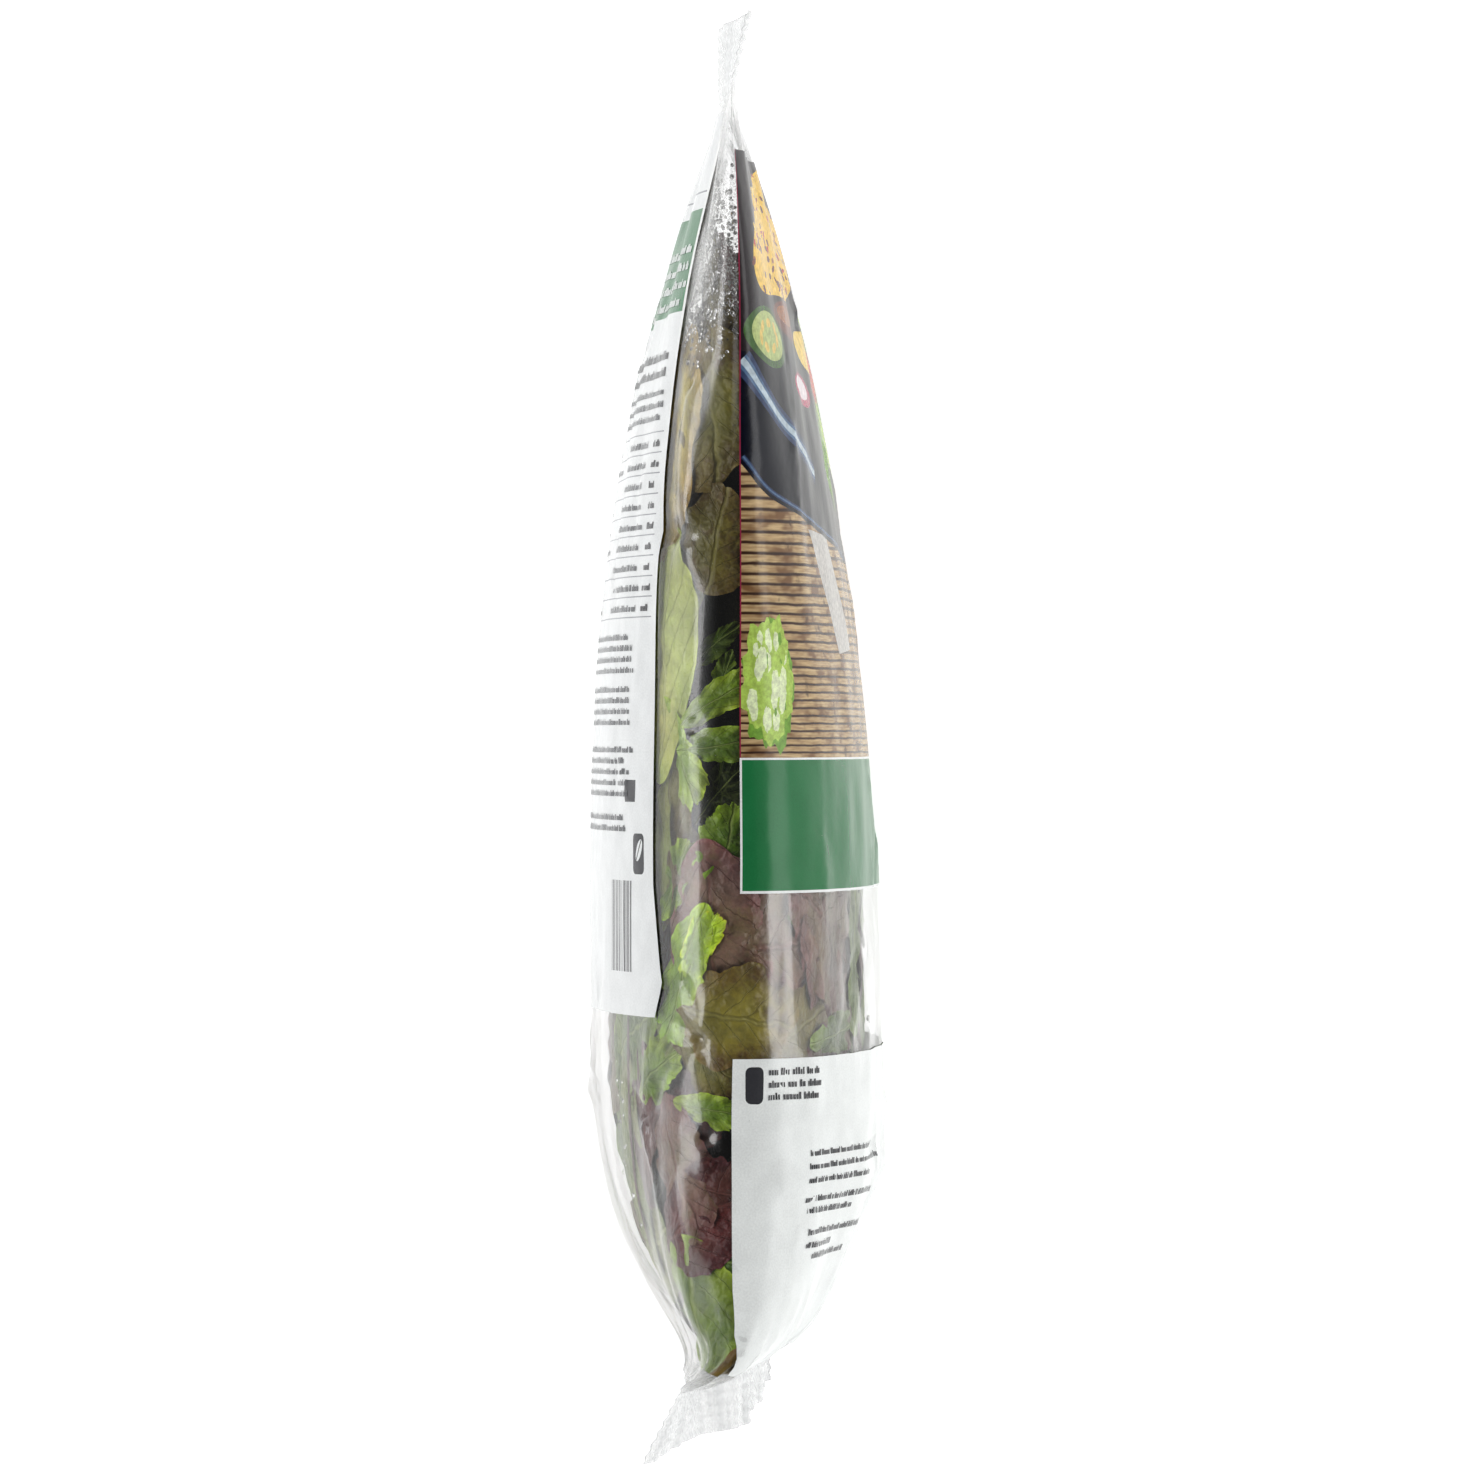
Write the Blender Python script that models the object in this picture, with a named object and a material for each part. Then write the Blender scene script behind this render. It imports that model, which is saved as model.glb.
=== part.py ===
"""A sealed pillow bag of salad leaves, lying on its long lower edge with the other edge up.

+X runs along the bag to its top seal, the printed front faces -Y and the back faces +Y.
The bag is one closed solid out to its film: a full body that tapers to two crimped end seals.
Lengths are in metres.
"""

import math

import bmesh
import bpy
from mathutils import Vector

# Driving sizes
HALF_LENGTH = 0.135      # from the middle to the cut end of either seal
SEAL_LENGTH = 0.013      # each crimped end seal, along X
FLAT_WIDTH = 0.190       # the empty bag from fold to fold; the film tube is twice this round
SEAL_SPAN = 0.183        # a seal's height once its waves have shortened it
SEAL_CLEARANCE = 0.003   # the lower corners of the seals hang this far above the ground
SEAL_HALF_THICKNESS = 0.0004
ROOT = HALF_LENGTH - SEAL_LENGTH

# The front and back panels bulge from a fullest station, and fall to the two seals as
# depth * (1 - t ** bend) ** bluntness, with t from 0 at the fullest station to 1 at the seal.
FRONT = {"depth": 0.0291, "fullest": -0.0840, "top": (2.3, 0.96), "bottom": (1.0, 0.54)}
BACK = {"depth": 0.0290, "fullest": -0.0530, "top": (3.1, 1.04), "bottom": (2.5, 0.55)}

# Shape of the cross-section: an ellipse above, squarer below where the leaves settle
UPPER_ROUNDNESS = 2.0
LOWER_ROUNDNESS = 2.7
REST_SINK = 0.0045       # how far the round lower edge is pressed flat on the ground
REST_FROM, REST_TO = -0.085, 0.045
REST_FADE = 0.055

# Crimp ridges that run along the seals, and pleats that run from the seals into the panels
CRIMPS = 5
CRIMP_DEPTH = 0.00025
PLEAT_PITCH = 0.031
PLEAT_DEPTH = 0.0018
PLEAT_REACH = 0.026
SEAL_WAVE = 0.0006
SEAL_REACH = 0.005       # how soon the seals' waves die out inside the bag
TOP_LEAN, TOP_LEAN_REACH = 0.0012, 0.022      # how far the ends of the body lie off the middle
BOTTOM_LEAN, BOTTOM_LEAN_REACH = -0.0070, 0.009

# Buckles of the film on the upper edge: station along X, width along X, depth
BUCKLES = ((0.0450, 0.0050, 0.0026), (-0.0590, 0.0055, 0.0022), (-0.0800, 0.0060, 0.0030))

AROUND = 72              # points round a section
BODY_STEPS = 46          # sections from seal to seal
FILM_COLOUR = (0.62, 0.70, 0.60, 1.0)


def ease(t):
    """Smooth step from 0 to 1."""
    t = min(1.0, max(0.0, t))
    return t * t * (3.0 - 2.0 * t)


def bulge(panel, x):
    """How far a panel stands off the bag's middle plane at station x."""
    span = (ROOT - panel["fullest"]) if x > panel["fullest"] else (ROOT + panel["fullest"])
    bend, bluntness = panel["top"] if x > panel["fullest"] else panel["bottom"]
    t = min(1.0, abs(x - panel["fullest"]) / span)
    return SEAL_HALF_THICKNESS + panel["depth"] * (1.0 - t ** bend) ** bluntness


def half_height(thickness):
    """Half the height of a section whose film is 2 * FLAT_WIDTH round, by Ramanujan's ellipse rule."""
    low, high = 0.5 * thickness, FLAT_WIDTH
    for _ in range(40):
        a = 0.5 * (low + high)
        b = 0.5 * thickness
        girth = math.pi * (3.0 * (a + b) - math.sqrt((3.0 * a + b) * (a + 3.0 * b)))
        low, high = (a, high) if girth < 2.0 * FLAT_WIDTH else (low, a)
    return a


def near_seal(x):
    """1 on the seals, falling to 0 inside the bag, over the reach of the pleats."""
    return math.exp(-max(0.0, ROOT - abs(x)) / PLEAT_REACH)


def top_seal_line(up, out):
    """Y of the top seal: nearly straight, its upper corner turned to the front."""
    return 0.0026 - 0.0048 * ease((up - 0.80) / 0.20) * (0.35 + 0.65 * out)


def bottom_seal_line(up, out):
    """Y of the bottom seal: it sweeps from the front at its lower corner to the back at its upper one."""
    sweep = -0.0062 + 0.0055 * up / 0.6
    fold = 0.0070 * ease((up - 0.55) / 0.14)
    curl = (0.0008 + 0.0062 * out) * ease((up - 0.62) / 0.38)
    return sweep + fold + curl


def middle_line(x, up):
    """Y of the bag's middle plane at station x, where up runs from 0 at the ground to 1 at the top."""
    out = max(0.0, abs(x) - ROOT) / SEAL_LENGTH
    line = top_seal_line(up, out) if x > 0.0 else bottom_seal_line(up, out)
    line += SEAL_WAVE * math.sin(6.0 * math.pi * up)
    inside = max(0.0, ROOT - abs(x))
    hold = math.exp(-inside / SEAL_REACH)
    lean, reach = (TOP_LEAN, TOP_LEAN_REACH) if x > 0.0 else (BOTTOM_LEAN, BOTTOM_LEAN_REACH)
    return line * hold + lean * (1.0 - hold) * math.exp(-inside / reach)


def crimp(x):
    """Ridges across the seal, at their crests and troughs on every other row."""
    out = (abs(x) - ROOT) / SEAL_LENGTH
    return CRIMP_DEPTH * math.cos(2.0 * math.pi * CRIMPS * out) if out > 0.001 else 0.0


def buckle(x):
    """How far the upper edge is pressed in at station x."""
    return sum(depth * math.exp(-((x - at) / wide) ** 2) for at, wide, depth in BUCKLES)


def edge_heights(x):
    """Lowest and highest point of the section at station x, before the ground presses it."""
    span = 2.0 * half_height(bulge(FRONT, x) + bulge(BACK, x))
    span += (SEAL_SPAN - FLAT_WIDTH) * near_seal(x)
    sunk = ease((x - REST_FROM) / REST_FADE + 1.0) * ease((REST_TO - x) / REST_FADE + 1.0)
    foot = SEAL_CLEARANCE - (SEAL_CLEARANCE + REST_SINK) * sunk
    return foot, foot + span


def film_point(x, turn):
    """A point of the film: turn runs round the section from the upper edge, by way of the front."""
    foot, head = edge_heights(x)
    rise, lean = math.cos(turn), math.sin(turn)
    seal = near_seal(x)
    roundness = UPPER_ROUNDNESS if rise > 0.0 else LOWER_ROUNDNESS + (2.0 - LOWER_ROUNDNESS) * seal
    z = 0.5 * (foot + head) + 0.5 * (head - foot) * math.copysign(abs(rise) ** (2.0 / roundness), rise)
    up = (z - foot) / (head - foot)
    panel = FRONT if lean > 0.0 else BACK
    fullness = abs(lean) ** (2.0 / roundness)
    pleat = PLEAT_DEPTH * seal * (1.0 - seal) * 4.0 * fullness
    groove = 0.2 - 0.5 * math.cos(2.0 * math.pi * z / PLEAT_PITCH)
    stand_off = max(0.0, bulge(panel, x) * fullness - pleat * groove)
    y = middle_line(x, up) + crimp(x) - math.copysign(stand_off, lean)
    z -= buckle(x) * max(0.0, rise) ** 8
    return Vector((x, y, max(z, 0.0)))


def stations():
    """X of every section, from the cut end of the bottom seal to that of the top seal."""
    rows = 2 * CRIMPS
    seal = [ROOT + SEAL_LENGTH * (i + 1) / rows for i in range(rows)]
    body = [-ROOT * math.cos(math.pi * i / BODY_STEPS) for i in range(BODY_STEPS + 1)]
    evened = [0.45 * x + 0.55 * (2.0 * ROOT * i / BODY_STEPS - ROOT) for i, x in enumerate(body)]
    return [-x for x in reversed(seal)] + evened + seal


def close_end(bm, ring, outward):
    """Bridges the two films of a seal at its cut end."""
    half = len(ring) // 2
    for i in range(half):
        corners = [ring[i], ring[i + 1], ring[(-i - 1) % len(ring)], ring[-i % len(ring)]]
        corners = [v for k, v in enumerate(corners) if v not in corners[:k]]
        bm.faces.new(corners if outward else list(reversed(corners)))


def build_bag(collection):
    """Lofts the film through its sections and closes both seals."""
    bm = bmesh.new()
    turns = [2.0 * math.pi * i / AROUND for i in range(AROUND)]
    rings = [[bm.verts.new(film_point(x, turn)) for turn in turns] for x in stations()]
    for ring, following in zip(rings, rings[1:]):
        for i in range(AROUND):
            j = (i + 1) % AROUND
            bm.faces.new((ring[i], ring[j], following[j], following[i]))
    close_end(bm, rings[0], False)
    close_end(bm, rings[-1], True)
    bmesh.ops.recalc_face_normals(bm, faces=bm.faces)
    low = Vector([min(v.co[k] for v in bm.verts) for k in range(3)])
    high = Vector([max(v.co[k] for v in bm.verts) for k in range(3)])
    centre = 0.5 * (low + high)
    bmesh.ops.translate(bm, verts=bm.verts, vec=(-centre.x, -centre.y, 0.0))
    mesh = bpy.data.meshes.new("bag")
    bm.to_mesh(mesh)
    bm.free()
    mesh.shade_smooth()
    mesh.set_sharp_from_angle(angle=math.radians(40.0))
    bag = bpy.data.objects.new("bag", mesh)
    collection.objects.link(bag)
    return bag


def film_material():
    """Clear film over leaves, as one pale green plastic."""
    material = bpy.data.materials.new("film_over_leaves")
    material.use_nodes = True
    shader = material.node_tree.nodes["Principled BSDF"]
    shader.inputs["Base Color"].default_value = FILM_COLOUR
    shader.inputs["Roughness"].default_value = 0.18
    shader.inputs["Metallic"].default_value = 0.0
    return material


def main():
    for thing in list(bpy.data.objects):
        bpy.data.objects.remove(thing, do_unlink=True)
    collection = bpy.data.collections.new("salad_bag")
    bpy.context.scene.collection.children.link(collection)
    bag = build_bag(collection)
    bag.data.materials.append(film_material())


main()
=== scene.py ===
# %% [markdown]
# # A sealed bag of salad leaves
# A clear pillow bag full of mixed leaves lies on one long edge, and we look straight down on the other.
# The whole bag is one surface of film, so we write that surface once, as a function of two flat
# coordinates: `x` along the bag and `s` around it. The film, its print, the leaves pressed against it and
# the drops of water on it are then all placed by the same function, at different depths.

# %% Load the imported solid
import math

import bpy
import numpy as np
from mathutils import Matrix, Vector
from mathutils.geometry import delaunay_2d_cdt


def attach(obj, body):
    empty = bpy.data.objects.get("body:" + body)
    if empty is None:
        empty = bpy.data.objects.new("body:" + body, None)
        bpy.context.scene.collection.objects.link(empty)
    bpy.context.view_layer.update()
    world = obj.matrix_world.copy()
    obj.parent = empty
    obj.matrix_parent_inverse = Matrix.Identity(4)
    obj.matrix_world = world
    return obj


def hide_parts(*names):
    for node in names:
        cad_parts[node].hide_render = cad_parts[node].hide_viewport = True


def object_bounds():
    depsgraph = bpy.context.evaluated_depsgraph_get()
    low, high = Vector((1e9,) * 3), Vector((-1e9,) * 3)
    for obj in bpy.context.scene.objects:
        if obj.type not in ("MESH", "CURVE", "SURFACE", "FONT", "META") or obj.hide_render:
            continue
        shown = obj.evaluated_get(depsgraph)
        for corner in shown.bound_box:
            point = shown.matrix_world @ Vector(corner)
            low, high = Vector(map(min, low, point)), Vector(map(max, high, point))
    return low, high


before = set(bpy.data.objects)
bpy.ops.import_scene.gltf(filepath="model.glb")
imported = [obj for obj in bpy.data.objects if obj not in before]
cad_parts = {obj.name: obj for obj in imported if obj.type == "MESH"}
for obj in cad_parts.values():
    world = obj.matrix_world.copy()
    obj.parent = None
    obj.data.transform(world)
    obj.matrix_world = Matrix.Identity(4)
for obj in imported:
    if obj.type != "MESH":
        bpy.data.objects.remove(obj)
CAD_LOW, CAD_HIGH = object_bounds()
MM = 0.001
print("solid, in mm:", [round(v / MM, 1) for v in CAD_HIGH - CAD_LOW])

# %% [markdown]
# ## The camera
# The edge that shows faces up, so the camera looks straight down, with the top seal at the top of the
# picture and the printed front on its right. A long lens from 1.5 m away keeps the seals nearly flat, and
# its focal length follows from the width of the picture at the depth where the bag is widest.

# %% Camera
WIDEST_DEPTH = 0.44 * CAD_HIGH.z         # the height at which the bag is widest
CAMERA_DISTANCE = 1.5
BORDER = 1.0877                          # the picture's width over the bag's length
PICTURE_WIDTH = BORDER * (CAD_HIGH.x - CAD_LOW.x)

camera_data = bpy.data.cameras.new("camera")
camera_data.sensor_width = 36.0
camera_data.lens = camera_data.sensor_width * CAMERA_DISTANCE / PICTURE_WIDTH
camera = bpy.data.objects.new("camera", camera_data)
camera.location = (0.0, 0.0, WIDEST_DEPTH + CAMERA_DISTANCE)
camera.rotation_euler = (0.0, 0.0, math.radians(-90.0))
bpy.context.scene.collection.objects.link(camera)
bpy.context.scene.camera = camera
print("lens", round(camera_data.lens, 1), "mm")

# %% [markdown]
# ## The shape of the film
# A tube of film keeps its length round every section, wherever it is squeezed flat, so the bag gets taller
# where it is thinner. Each panel bulges from a fullest station and falls to the seals by a power rule. The
# front bends sharply low down, where the leaves have settled, and the back is rounder.

# %% Sizes of the bag
SEAL_LENGTH = 13.0 * MM
ROOT = CAD_HIGH.x - SEAL_LENGTH
FLAT_WIDTH = 190.0 * MM
SEAL_SPAN = 183.0 * MM
SEAL_CLEARANCE = 3.0 * MM
FRONT = {"depth": 29.1 * MM, "fullest": -84.0 * MM, "top": (2.3, 0.96), "bottom": (1.0, 0.54)}
BACK = {"depth": 29.0 * MM, "fullest": -53.0 * MM, "top": (3.1, 1.04), "bottom": (2.5, 0.55)}
UPPER_ROUNDNESS, LOWER_ROUNDNESS = 2.0, 2.7
REST_SINK, REST_FROM, REST_TO, REST_FADE = 4.5 * MM, -85.0 * MM, 45.0 * MM, 55.0 * MM
PLEAT_PITCH, PLEAT_DEPTH, PLEAT_REACH = 31.0 * MM, 1.8 * MM, 26.0 * MM
print("film tube:", 2.0 * FLAT_WIDTH / MM, "mm round")

# %% [markdown]
# A few small functions turn those sizes into the outline at every station: how far each panel stands off the
# middle plane, how high the section is once its film is used up, and where its lower and upper edges lie.

# %% Panels and edges


def ease(t):
    """Smooth step from 0 to 1."""
    t = np.clip(t, 0.0, 1.0)
    return t * t * (3.0 - 2.0 * t)


def bulge(panel, x):
    """How far a panel stands off the middle plane at station x."""
    upward = x > panel["fullest"]
    span = np.where(upward, ROOT - panel["fullest"], ROOT + panel["fullest"])
    bend = np.where(upward, panel["top"][0], panel["bottom"][0])
    bluntness = np.where(upward, panel["top"][1], panel["bottom"][1])
    t = np.clip(np.abs(x - panel["fullest"]) / span, 0.0, 1.0)
    return panel["depth"] * (1.0 - t ** bend) ** bluntness


def half_height(thickness):
    """Half the height of a section of film 2 * FLAT_WIDTH round, by Ramanujan's rule for ellipses."""
    low, high = 0.5 * thickness, np.full_like(thickness, FLAT_WIDTH)
    for _ in range(30):
        a, b = 0.5 * (low + high), 0.5 * thickness
        girth = math.pi * (3.0 * (a + b) - np.sqrt((3.0 * a + b) * (a + 3.0 * b)))
        too_short = girth < 2.0 * FLAT_WIDTH
        low, high = np.where(too_short, a, low), np.where(too_short, high, a)
    return a


def near_seal(x):
    """1 on the seals, falling to 0 inside the bag."""
    return np.exp(-np.clip(ROOT - np.abs(x), 0.0, None) / PLEAT_REACH)


STATIONS = np.linspace(-CAD_HIGH.x, CAD_HIGH.x, 1401)
HALF_HEIGHTS = half_height(bulge(FRONT, STATIONS) + bulge(BACK, STATIONS))


def edge_heights(x):
    """Lowest and highest point of the section at station x, before the ground flattens it."""
    span = 2.0 * np.interp(x, STATIONS, HALF_HEIGHTS) + (SEAL_SPAN - FLAT_WIDTH) * near_seal(x)
    sunk = ease((x - REST_FROM) / REST_FADE + 1.0) * ease((REST_TO - x) / REST_FADE + 1.0)
    foot = SEAL_CLEARANCE - (SEAL_CLEARANCE + REST_SINK) * sunk
    return foot, foot + span


print("least height of a section, mm:", np.round(2.0 * HALF_HEIGHTS.min() / MM, 1))

# %% [markdown]
# The seals aren't straight. The top one only turns its upper corner to the front. The bottom one runs
# from the front at its lower corner, through a fold, to the back at the corner that shows.

# %% The lines of the two seals
SEAL_REACH = 5.0 * MM
TOP_LEAN, TOP_LEAN_REACH = 1.2 * MM, 22.0 * MM
BOTTOM_LEAN, BOTTOM_LEAN_REACH = -7.0 * MM, 9.0 * MM
SEAL_WAVE = 0.6 * MM


def top_seal_line(up, out):
    """Y of the top seal: up is the height, and out runs from the root of the seal to its cut end."""
    return (2.6 - 4.8 * ease((up - 0.80) / 0.20) * (0.35 + 0.65 * out)) * MM


def bottom_seal_line(up, out):
    """Y of the bottom seal, as a slow sweep, a fold and a curl at the upper corner."""
    sweep = -6.2 + 5.5 * up / 0.6
    fold = 7.0 * ease((up - 0.55) / 0.14)
    curl = (0.8 + 6.2 * out) * ease((up - 0.62) / 0.38)
    return (sweep + fold + curl) * MM


def middle_line(x, up):
    """Y of the middle plane, where up runs from 0 at the lower edge to 1 at the one that shows."""
    out = np.clip(np.abs(x) - ROOT, 0.0, None) / SEAL_LENGTH
    inside = np.clip(ROOT - np.abs(x), 0.0, None)
    line = np.where(x > 0.0, top_seal_line(up, out), bottom_seal_line(up, out))
    line = line + SEAL_WAVE * np.sin(6.0 * math.pi * up)
    hold = np.exp(-inside / SEAL_REACH)
    lean = np.where(x > 0.0, TOP_LEAN * np.exp(-inside / TOP_LEAN_REACH),
                    BOTTOM_LEAN * np.exp(-inside / BOTTOM_LEAN_REACH))
    return line * hold + lean * (1.0 - hold)


ends = middle_line(np.array([-CAD_HIGH.x, CAD_HIGH.x]), 1.0)
print("upper corners of the seals, Y in mm:", np.round(ends / MM, 1))

# %% [markdown]
# Now the one function that everything else stands on. It gives a point of the bag from the station, the turn
# round the section and a depth under the film. The upper half is an ellipse and the lower half is squarer,
# because the leaves settle there. Sinking a point keeps the section's shape, so nothing crosses the middle.

# %% The section
DEEPEST = 0.93          # the share of the way to the middle plane that a point may sink
FLATTEST = 0.2          # the share of the half height that is left at the very middle


def section(x, turn, depth):
    """Points at a depth under the film: turn runs round the section from the upper edge, by the front."""
    foot, head = edge_heights(x)
    rise, across = np.cos(turn), np.sin(turn)
    seal = near_seal(x)
    roundness = np.where(rise > 0.0, UPPER_ROUNDNESS, LOWER_ROUNDNESS + (2.0 - LOWER_ROUNDNESS) * seal)
    high = 0.5 * (head - foot)
    level = np.copysign(np.abs(rise) ** (2.0 / roundness), rise)
    z = 0.5 * (foot + head) + high * level
    fullness = np.abs(across) ** (2.0 / roundness)
    pleat = 4.0 * PLEAT_DEPTH * seal * (1.0 - seal) * fullness
    groove = 0.2 - 0.5 * np.cos(2.0 * math.pi * z / PLEAT_PITCH)
    swell = np.where(across > 0.0, bulge(FRONT, x), bulge(BACK, x))
    half = np.maximum(swell * fullness - pleat * groove, 0.0)
    share = 1.0 - np.minimum(depth / np.maximum(swell, 1e-6), DEEPEST)
    y = middle_line(x, 0.5 + 0.5 * level) - np.copysign(half * share, across)
    z = 0.5 * (foot + head) + np.maximum(high - depth, FLATTEST * high) * level
    return np.stack(np.broadcast_arrays(x, y, np.maximum(z, depth)), axis=-1)


print("upper edge at the middle, mm:", np.round(section(np.zeros(1), 0.0, 0.0)[0] / MM, 1))

# %% [markdown]
# ### Flat coordinates
# Print and leaves are easier to lay out on the flat bag. `s` is the distance from the edge that shows,
# measured along the film: positive down the front, negative down the back. A table gives the turn that
# belongs to each `x` and `s`, and `under_film` uses it to bend flat coordinates round the bag.

# %% Table from flat coordinates to turns
TABLE_ROWS, TABLE_COLUMNS, TURN_STEPS = 246, 193, 900
table_x = np.linspace(-CAD_HIGH.x, CAD_HIGH.x, TABLE_ROWS)
table_s = np.linspace(-FLAT_WIDTH, FLAT_WIDTH, 2 * TABLE_COLUMNS - 1)


def turns_for(x_rows, side):
    """Turn at even distances down one panel, from the upper edge (0) to the lower one (pi)."""
    turn = side * np.linspace(0.0, math.pi, TURN_STEPS)
    points = section(x_rows[:, None], turn[None, :], 0.0)
    steps = np.linalg.norm(np.diff(points[:, :, 1:], axis=1), axis=-1)
    run = np.concatenate([np.zeros((len(x_rows), 1)), np.cumsum(steps, axis=1)], axis=1)
    even = np.linspace(0.0, 1.0, TABLE_COLUMNS)
    return np.array([np.interp(even, r / r[-1], turn) for r in run])


table_turn = np.concatenate([turns_for(table_x, -1.0)[:, ::-1], turns_for(table_x, 1.0)[:, 1:]], axis=1)
print("table of turns:", table_turn.shape)


def look_up(table, x, s):
    """Bilinear reading of a table over x and s. The table may hold numbers or points."""
    i = np.clip((x - table_x[0]) / (table_x[-1] - table_x[0]) * (TABLE_ROWS - 1), 0, TABLE_ROWS - 1.001)
    last = len(table_s) - 1
    j = np.clip((s - table_s[0]) / (table_s[-1] - table_s[0]) * last, 0, last - 0.001)
    row, column = i.astype(int), j.astype(int)
    u, v = i - row, j - column
    if table.ndim > 2:
        u, v = u[..., None], v[..., None]
    upper = table[row, column] * (1 - v) + table[row, column + 1] * v
    lower = table[row + 1, column] * (1 - v) + table[row + 1, column + 1] * v
    return upper * (1 - u) + lower * u


def wrapped(s):
    """s brought back to the other panel where it runs past the lower edge."""
    return (s + FLAT_WIDTH) % (2.0 * FLAT_WIDTH) - FLAT_WIDTH


def under_film(x, s, depth):
    """Places flat coordinates at a depth under the film's smooth shape."""
    x = np.clip(x, -ROOT + 2.0 * MM, ROOT - 2.0 * MM)
    return section(x, look_up(table_turn, x, wrapped(s)), depth)

# %% [markdown]
# ## Building meshes
# Everything here is made from arrays: a table of points, a list of faces, and a value or two for each
# point. One helper turns those into a mesh object, and stores the flat coordinates as the UV map, so that a
# pattern can follow the film, and a colour for each point.

# %% Mesh helper


def make_piece(name, points, faces, material, flat=None, tint=None, smooth=True):
    """A mesh object from arrays. flat is a (u, v) for each point and tint is a colour for each point."""
    mesh = bpy.data.meshes.new(name)
    mesh.from_pydata([tuple(p) for p in np.asarray(points, float).tolist()], [], faces)
    mesh.update()
    corners = np.zeros(len(mesh.loops), dtype=np.int32)
    mesh.loops.foreach_get("vertex_index", corners)
    if flat is not None:
        layer = mesh.uv_layers.new(name="flat")
        layer.data.foreach_set("uv", np.asarray(flat, float)[corners].ravel())
    if tint is not None:
        colours = mesh.color_attributes.new("tint", "FLOAT_COLOR", "POINT")
        rgba = np.concatenate([np.asarray(tint, float), np.ones((len(tint), 1))], axis=1)
        colours.data.foreach_set("color", rgba.ravel())
    if smooth:
        mesh.shade_smooth()
    mesh.materials.append(material)
    piece = bpy.data.objects.new(name, mesh)
    bpy.context.scene.collection.objects.link(piece)
    print(name, "-", len(mesh.vertices), "points,", len(mesh.loops) - 2 * len(mesh.polygons), "triangles")
    return piece


def grid_faces(rows, columns, closed):
    """Quads of a grid of points stored row by row. A closed grid joins its last column to its first."""
    i = np.arange(rows - 1)[:, None] * columns
    j = np.arange(columns if closed else columns - 1)[None, :]
    k = (j + 1) % columns
    quads = np.stack([i + j, i + k, i + columns + k, i + columns + j], axis=-1)
    return quads.reshape(-1, 4).tolist()


# %% [markdown]
# Materials are node trees. These helpers keep them short: one adds a node and sets its plain values, the
# others write the sums and the noise that most of the finishes share.

# %% Node helpers


def new_tree(name):
    """A material with an empty node tree, and its output node."""
    material = bpy.data.materials.new(name)
    material.use_nodes = True
    material.node_tree.nodes.clear()
    return material, material.node_tree, material.node_tree.nodes.new("ShaderNodeOutputMaterial")


def add(tree, kind, values=None, **settings):
    """Adds a node, sets its settings, and sets or links its inputs by name or number."""
    node = tree.nodes.new("ShaderNode" + kind)
    for key, value in settings.items():
        setattr(node, key, value)
    for key, value in (values or {}).items():
        if isinstance(value, bpy.types.NodeSocket):
            tree.links.new(value, node.inputs[key])
        else:
            node.inputs[key].default_value = value
    return node


def calc(tree, operation, a, b=0.0, clamp=False):
    """One step of arithmetic."""
    return add(tree, "Math", {0: a, 1: b}, operation=operation, use_clamp=clamp).outputs[0]


def noise(tree, place, scale, detail=3.0, roughness=0.55):
    """Noise on object coordinates or a UV map."""
    values = {"Vector": place, "Scale": scale, "Detail": detail, "Roughness": roughness}
    return add(tree, "TexNoise", values).outputs["Fac"]


def between(tree, value, low, high, to_low=0.0, to_high=1.0):
    """Smoothly maps low..high to to_low..to_high."""
    values = {"Value": value, "From Min": low, "From Max": high, "To Min": to_low, "To Max": to_high}
    return add(tree, "MapRange", values, interpolation_type="SMOOTHSTEP").outputs[0]


def blend(tree, factor, a, b, kind="MIX"):
    """Mixes two colours."""
    node = add(tree, "Mix", {"Factor": factor}, data_type="RGBA", blend_type=kind)
    for socket, value in ((node.inputs[6], a), (node.inputs[7], b)):
        if isinstance(value, bpy.types.NodeSocket):
            tree.links.new(value, socket)
        else:
            socket.default_value = tuple(value) + (1.0,) * (4 - len(value))
    return node.outputs[2]


def screen_colour(red, green, blue):
    """A colour given as its screen values from 0 to 255, made linear."""
    levels = (red / 255.0, green / 255.0, blue / 255.0)
    return tuple(((v + 0.055) / 1.055) ** 2.4 if v > 0.04 else v / 12.92 for v in levels)


# %% [markdown]
# ## The film
# The film is clear polypropylene, thinner than a hair, so it is modelled as a single surface: light goes
# straight through, apart from what each side mirrors. It mirrors little face on and nearly everything at a
# slant. The share follows the angle by Schlick's rule, on Layer Weight's Facing, which is the same for both
# sides of a surface, where Fresnel would treat the way out as the way out of solid plastic. A trace of haze
# makes it show against white. The crimped seals are milky in streaks, and near the top, where the bag is
# empty, the inside is misted over with fine water. Two things are choices for the look and not how film
# behaves. Low down it mirrors less than even one side of real film would, which keeps the leaves there
# clear to see, and towards the ends it passes a little less light.

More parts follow.
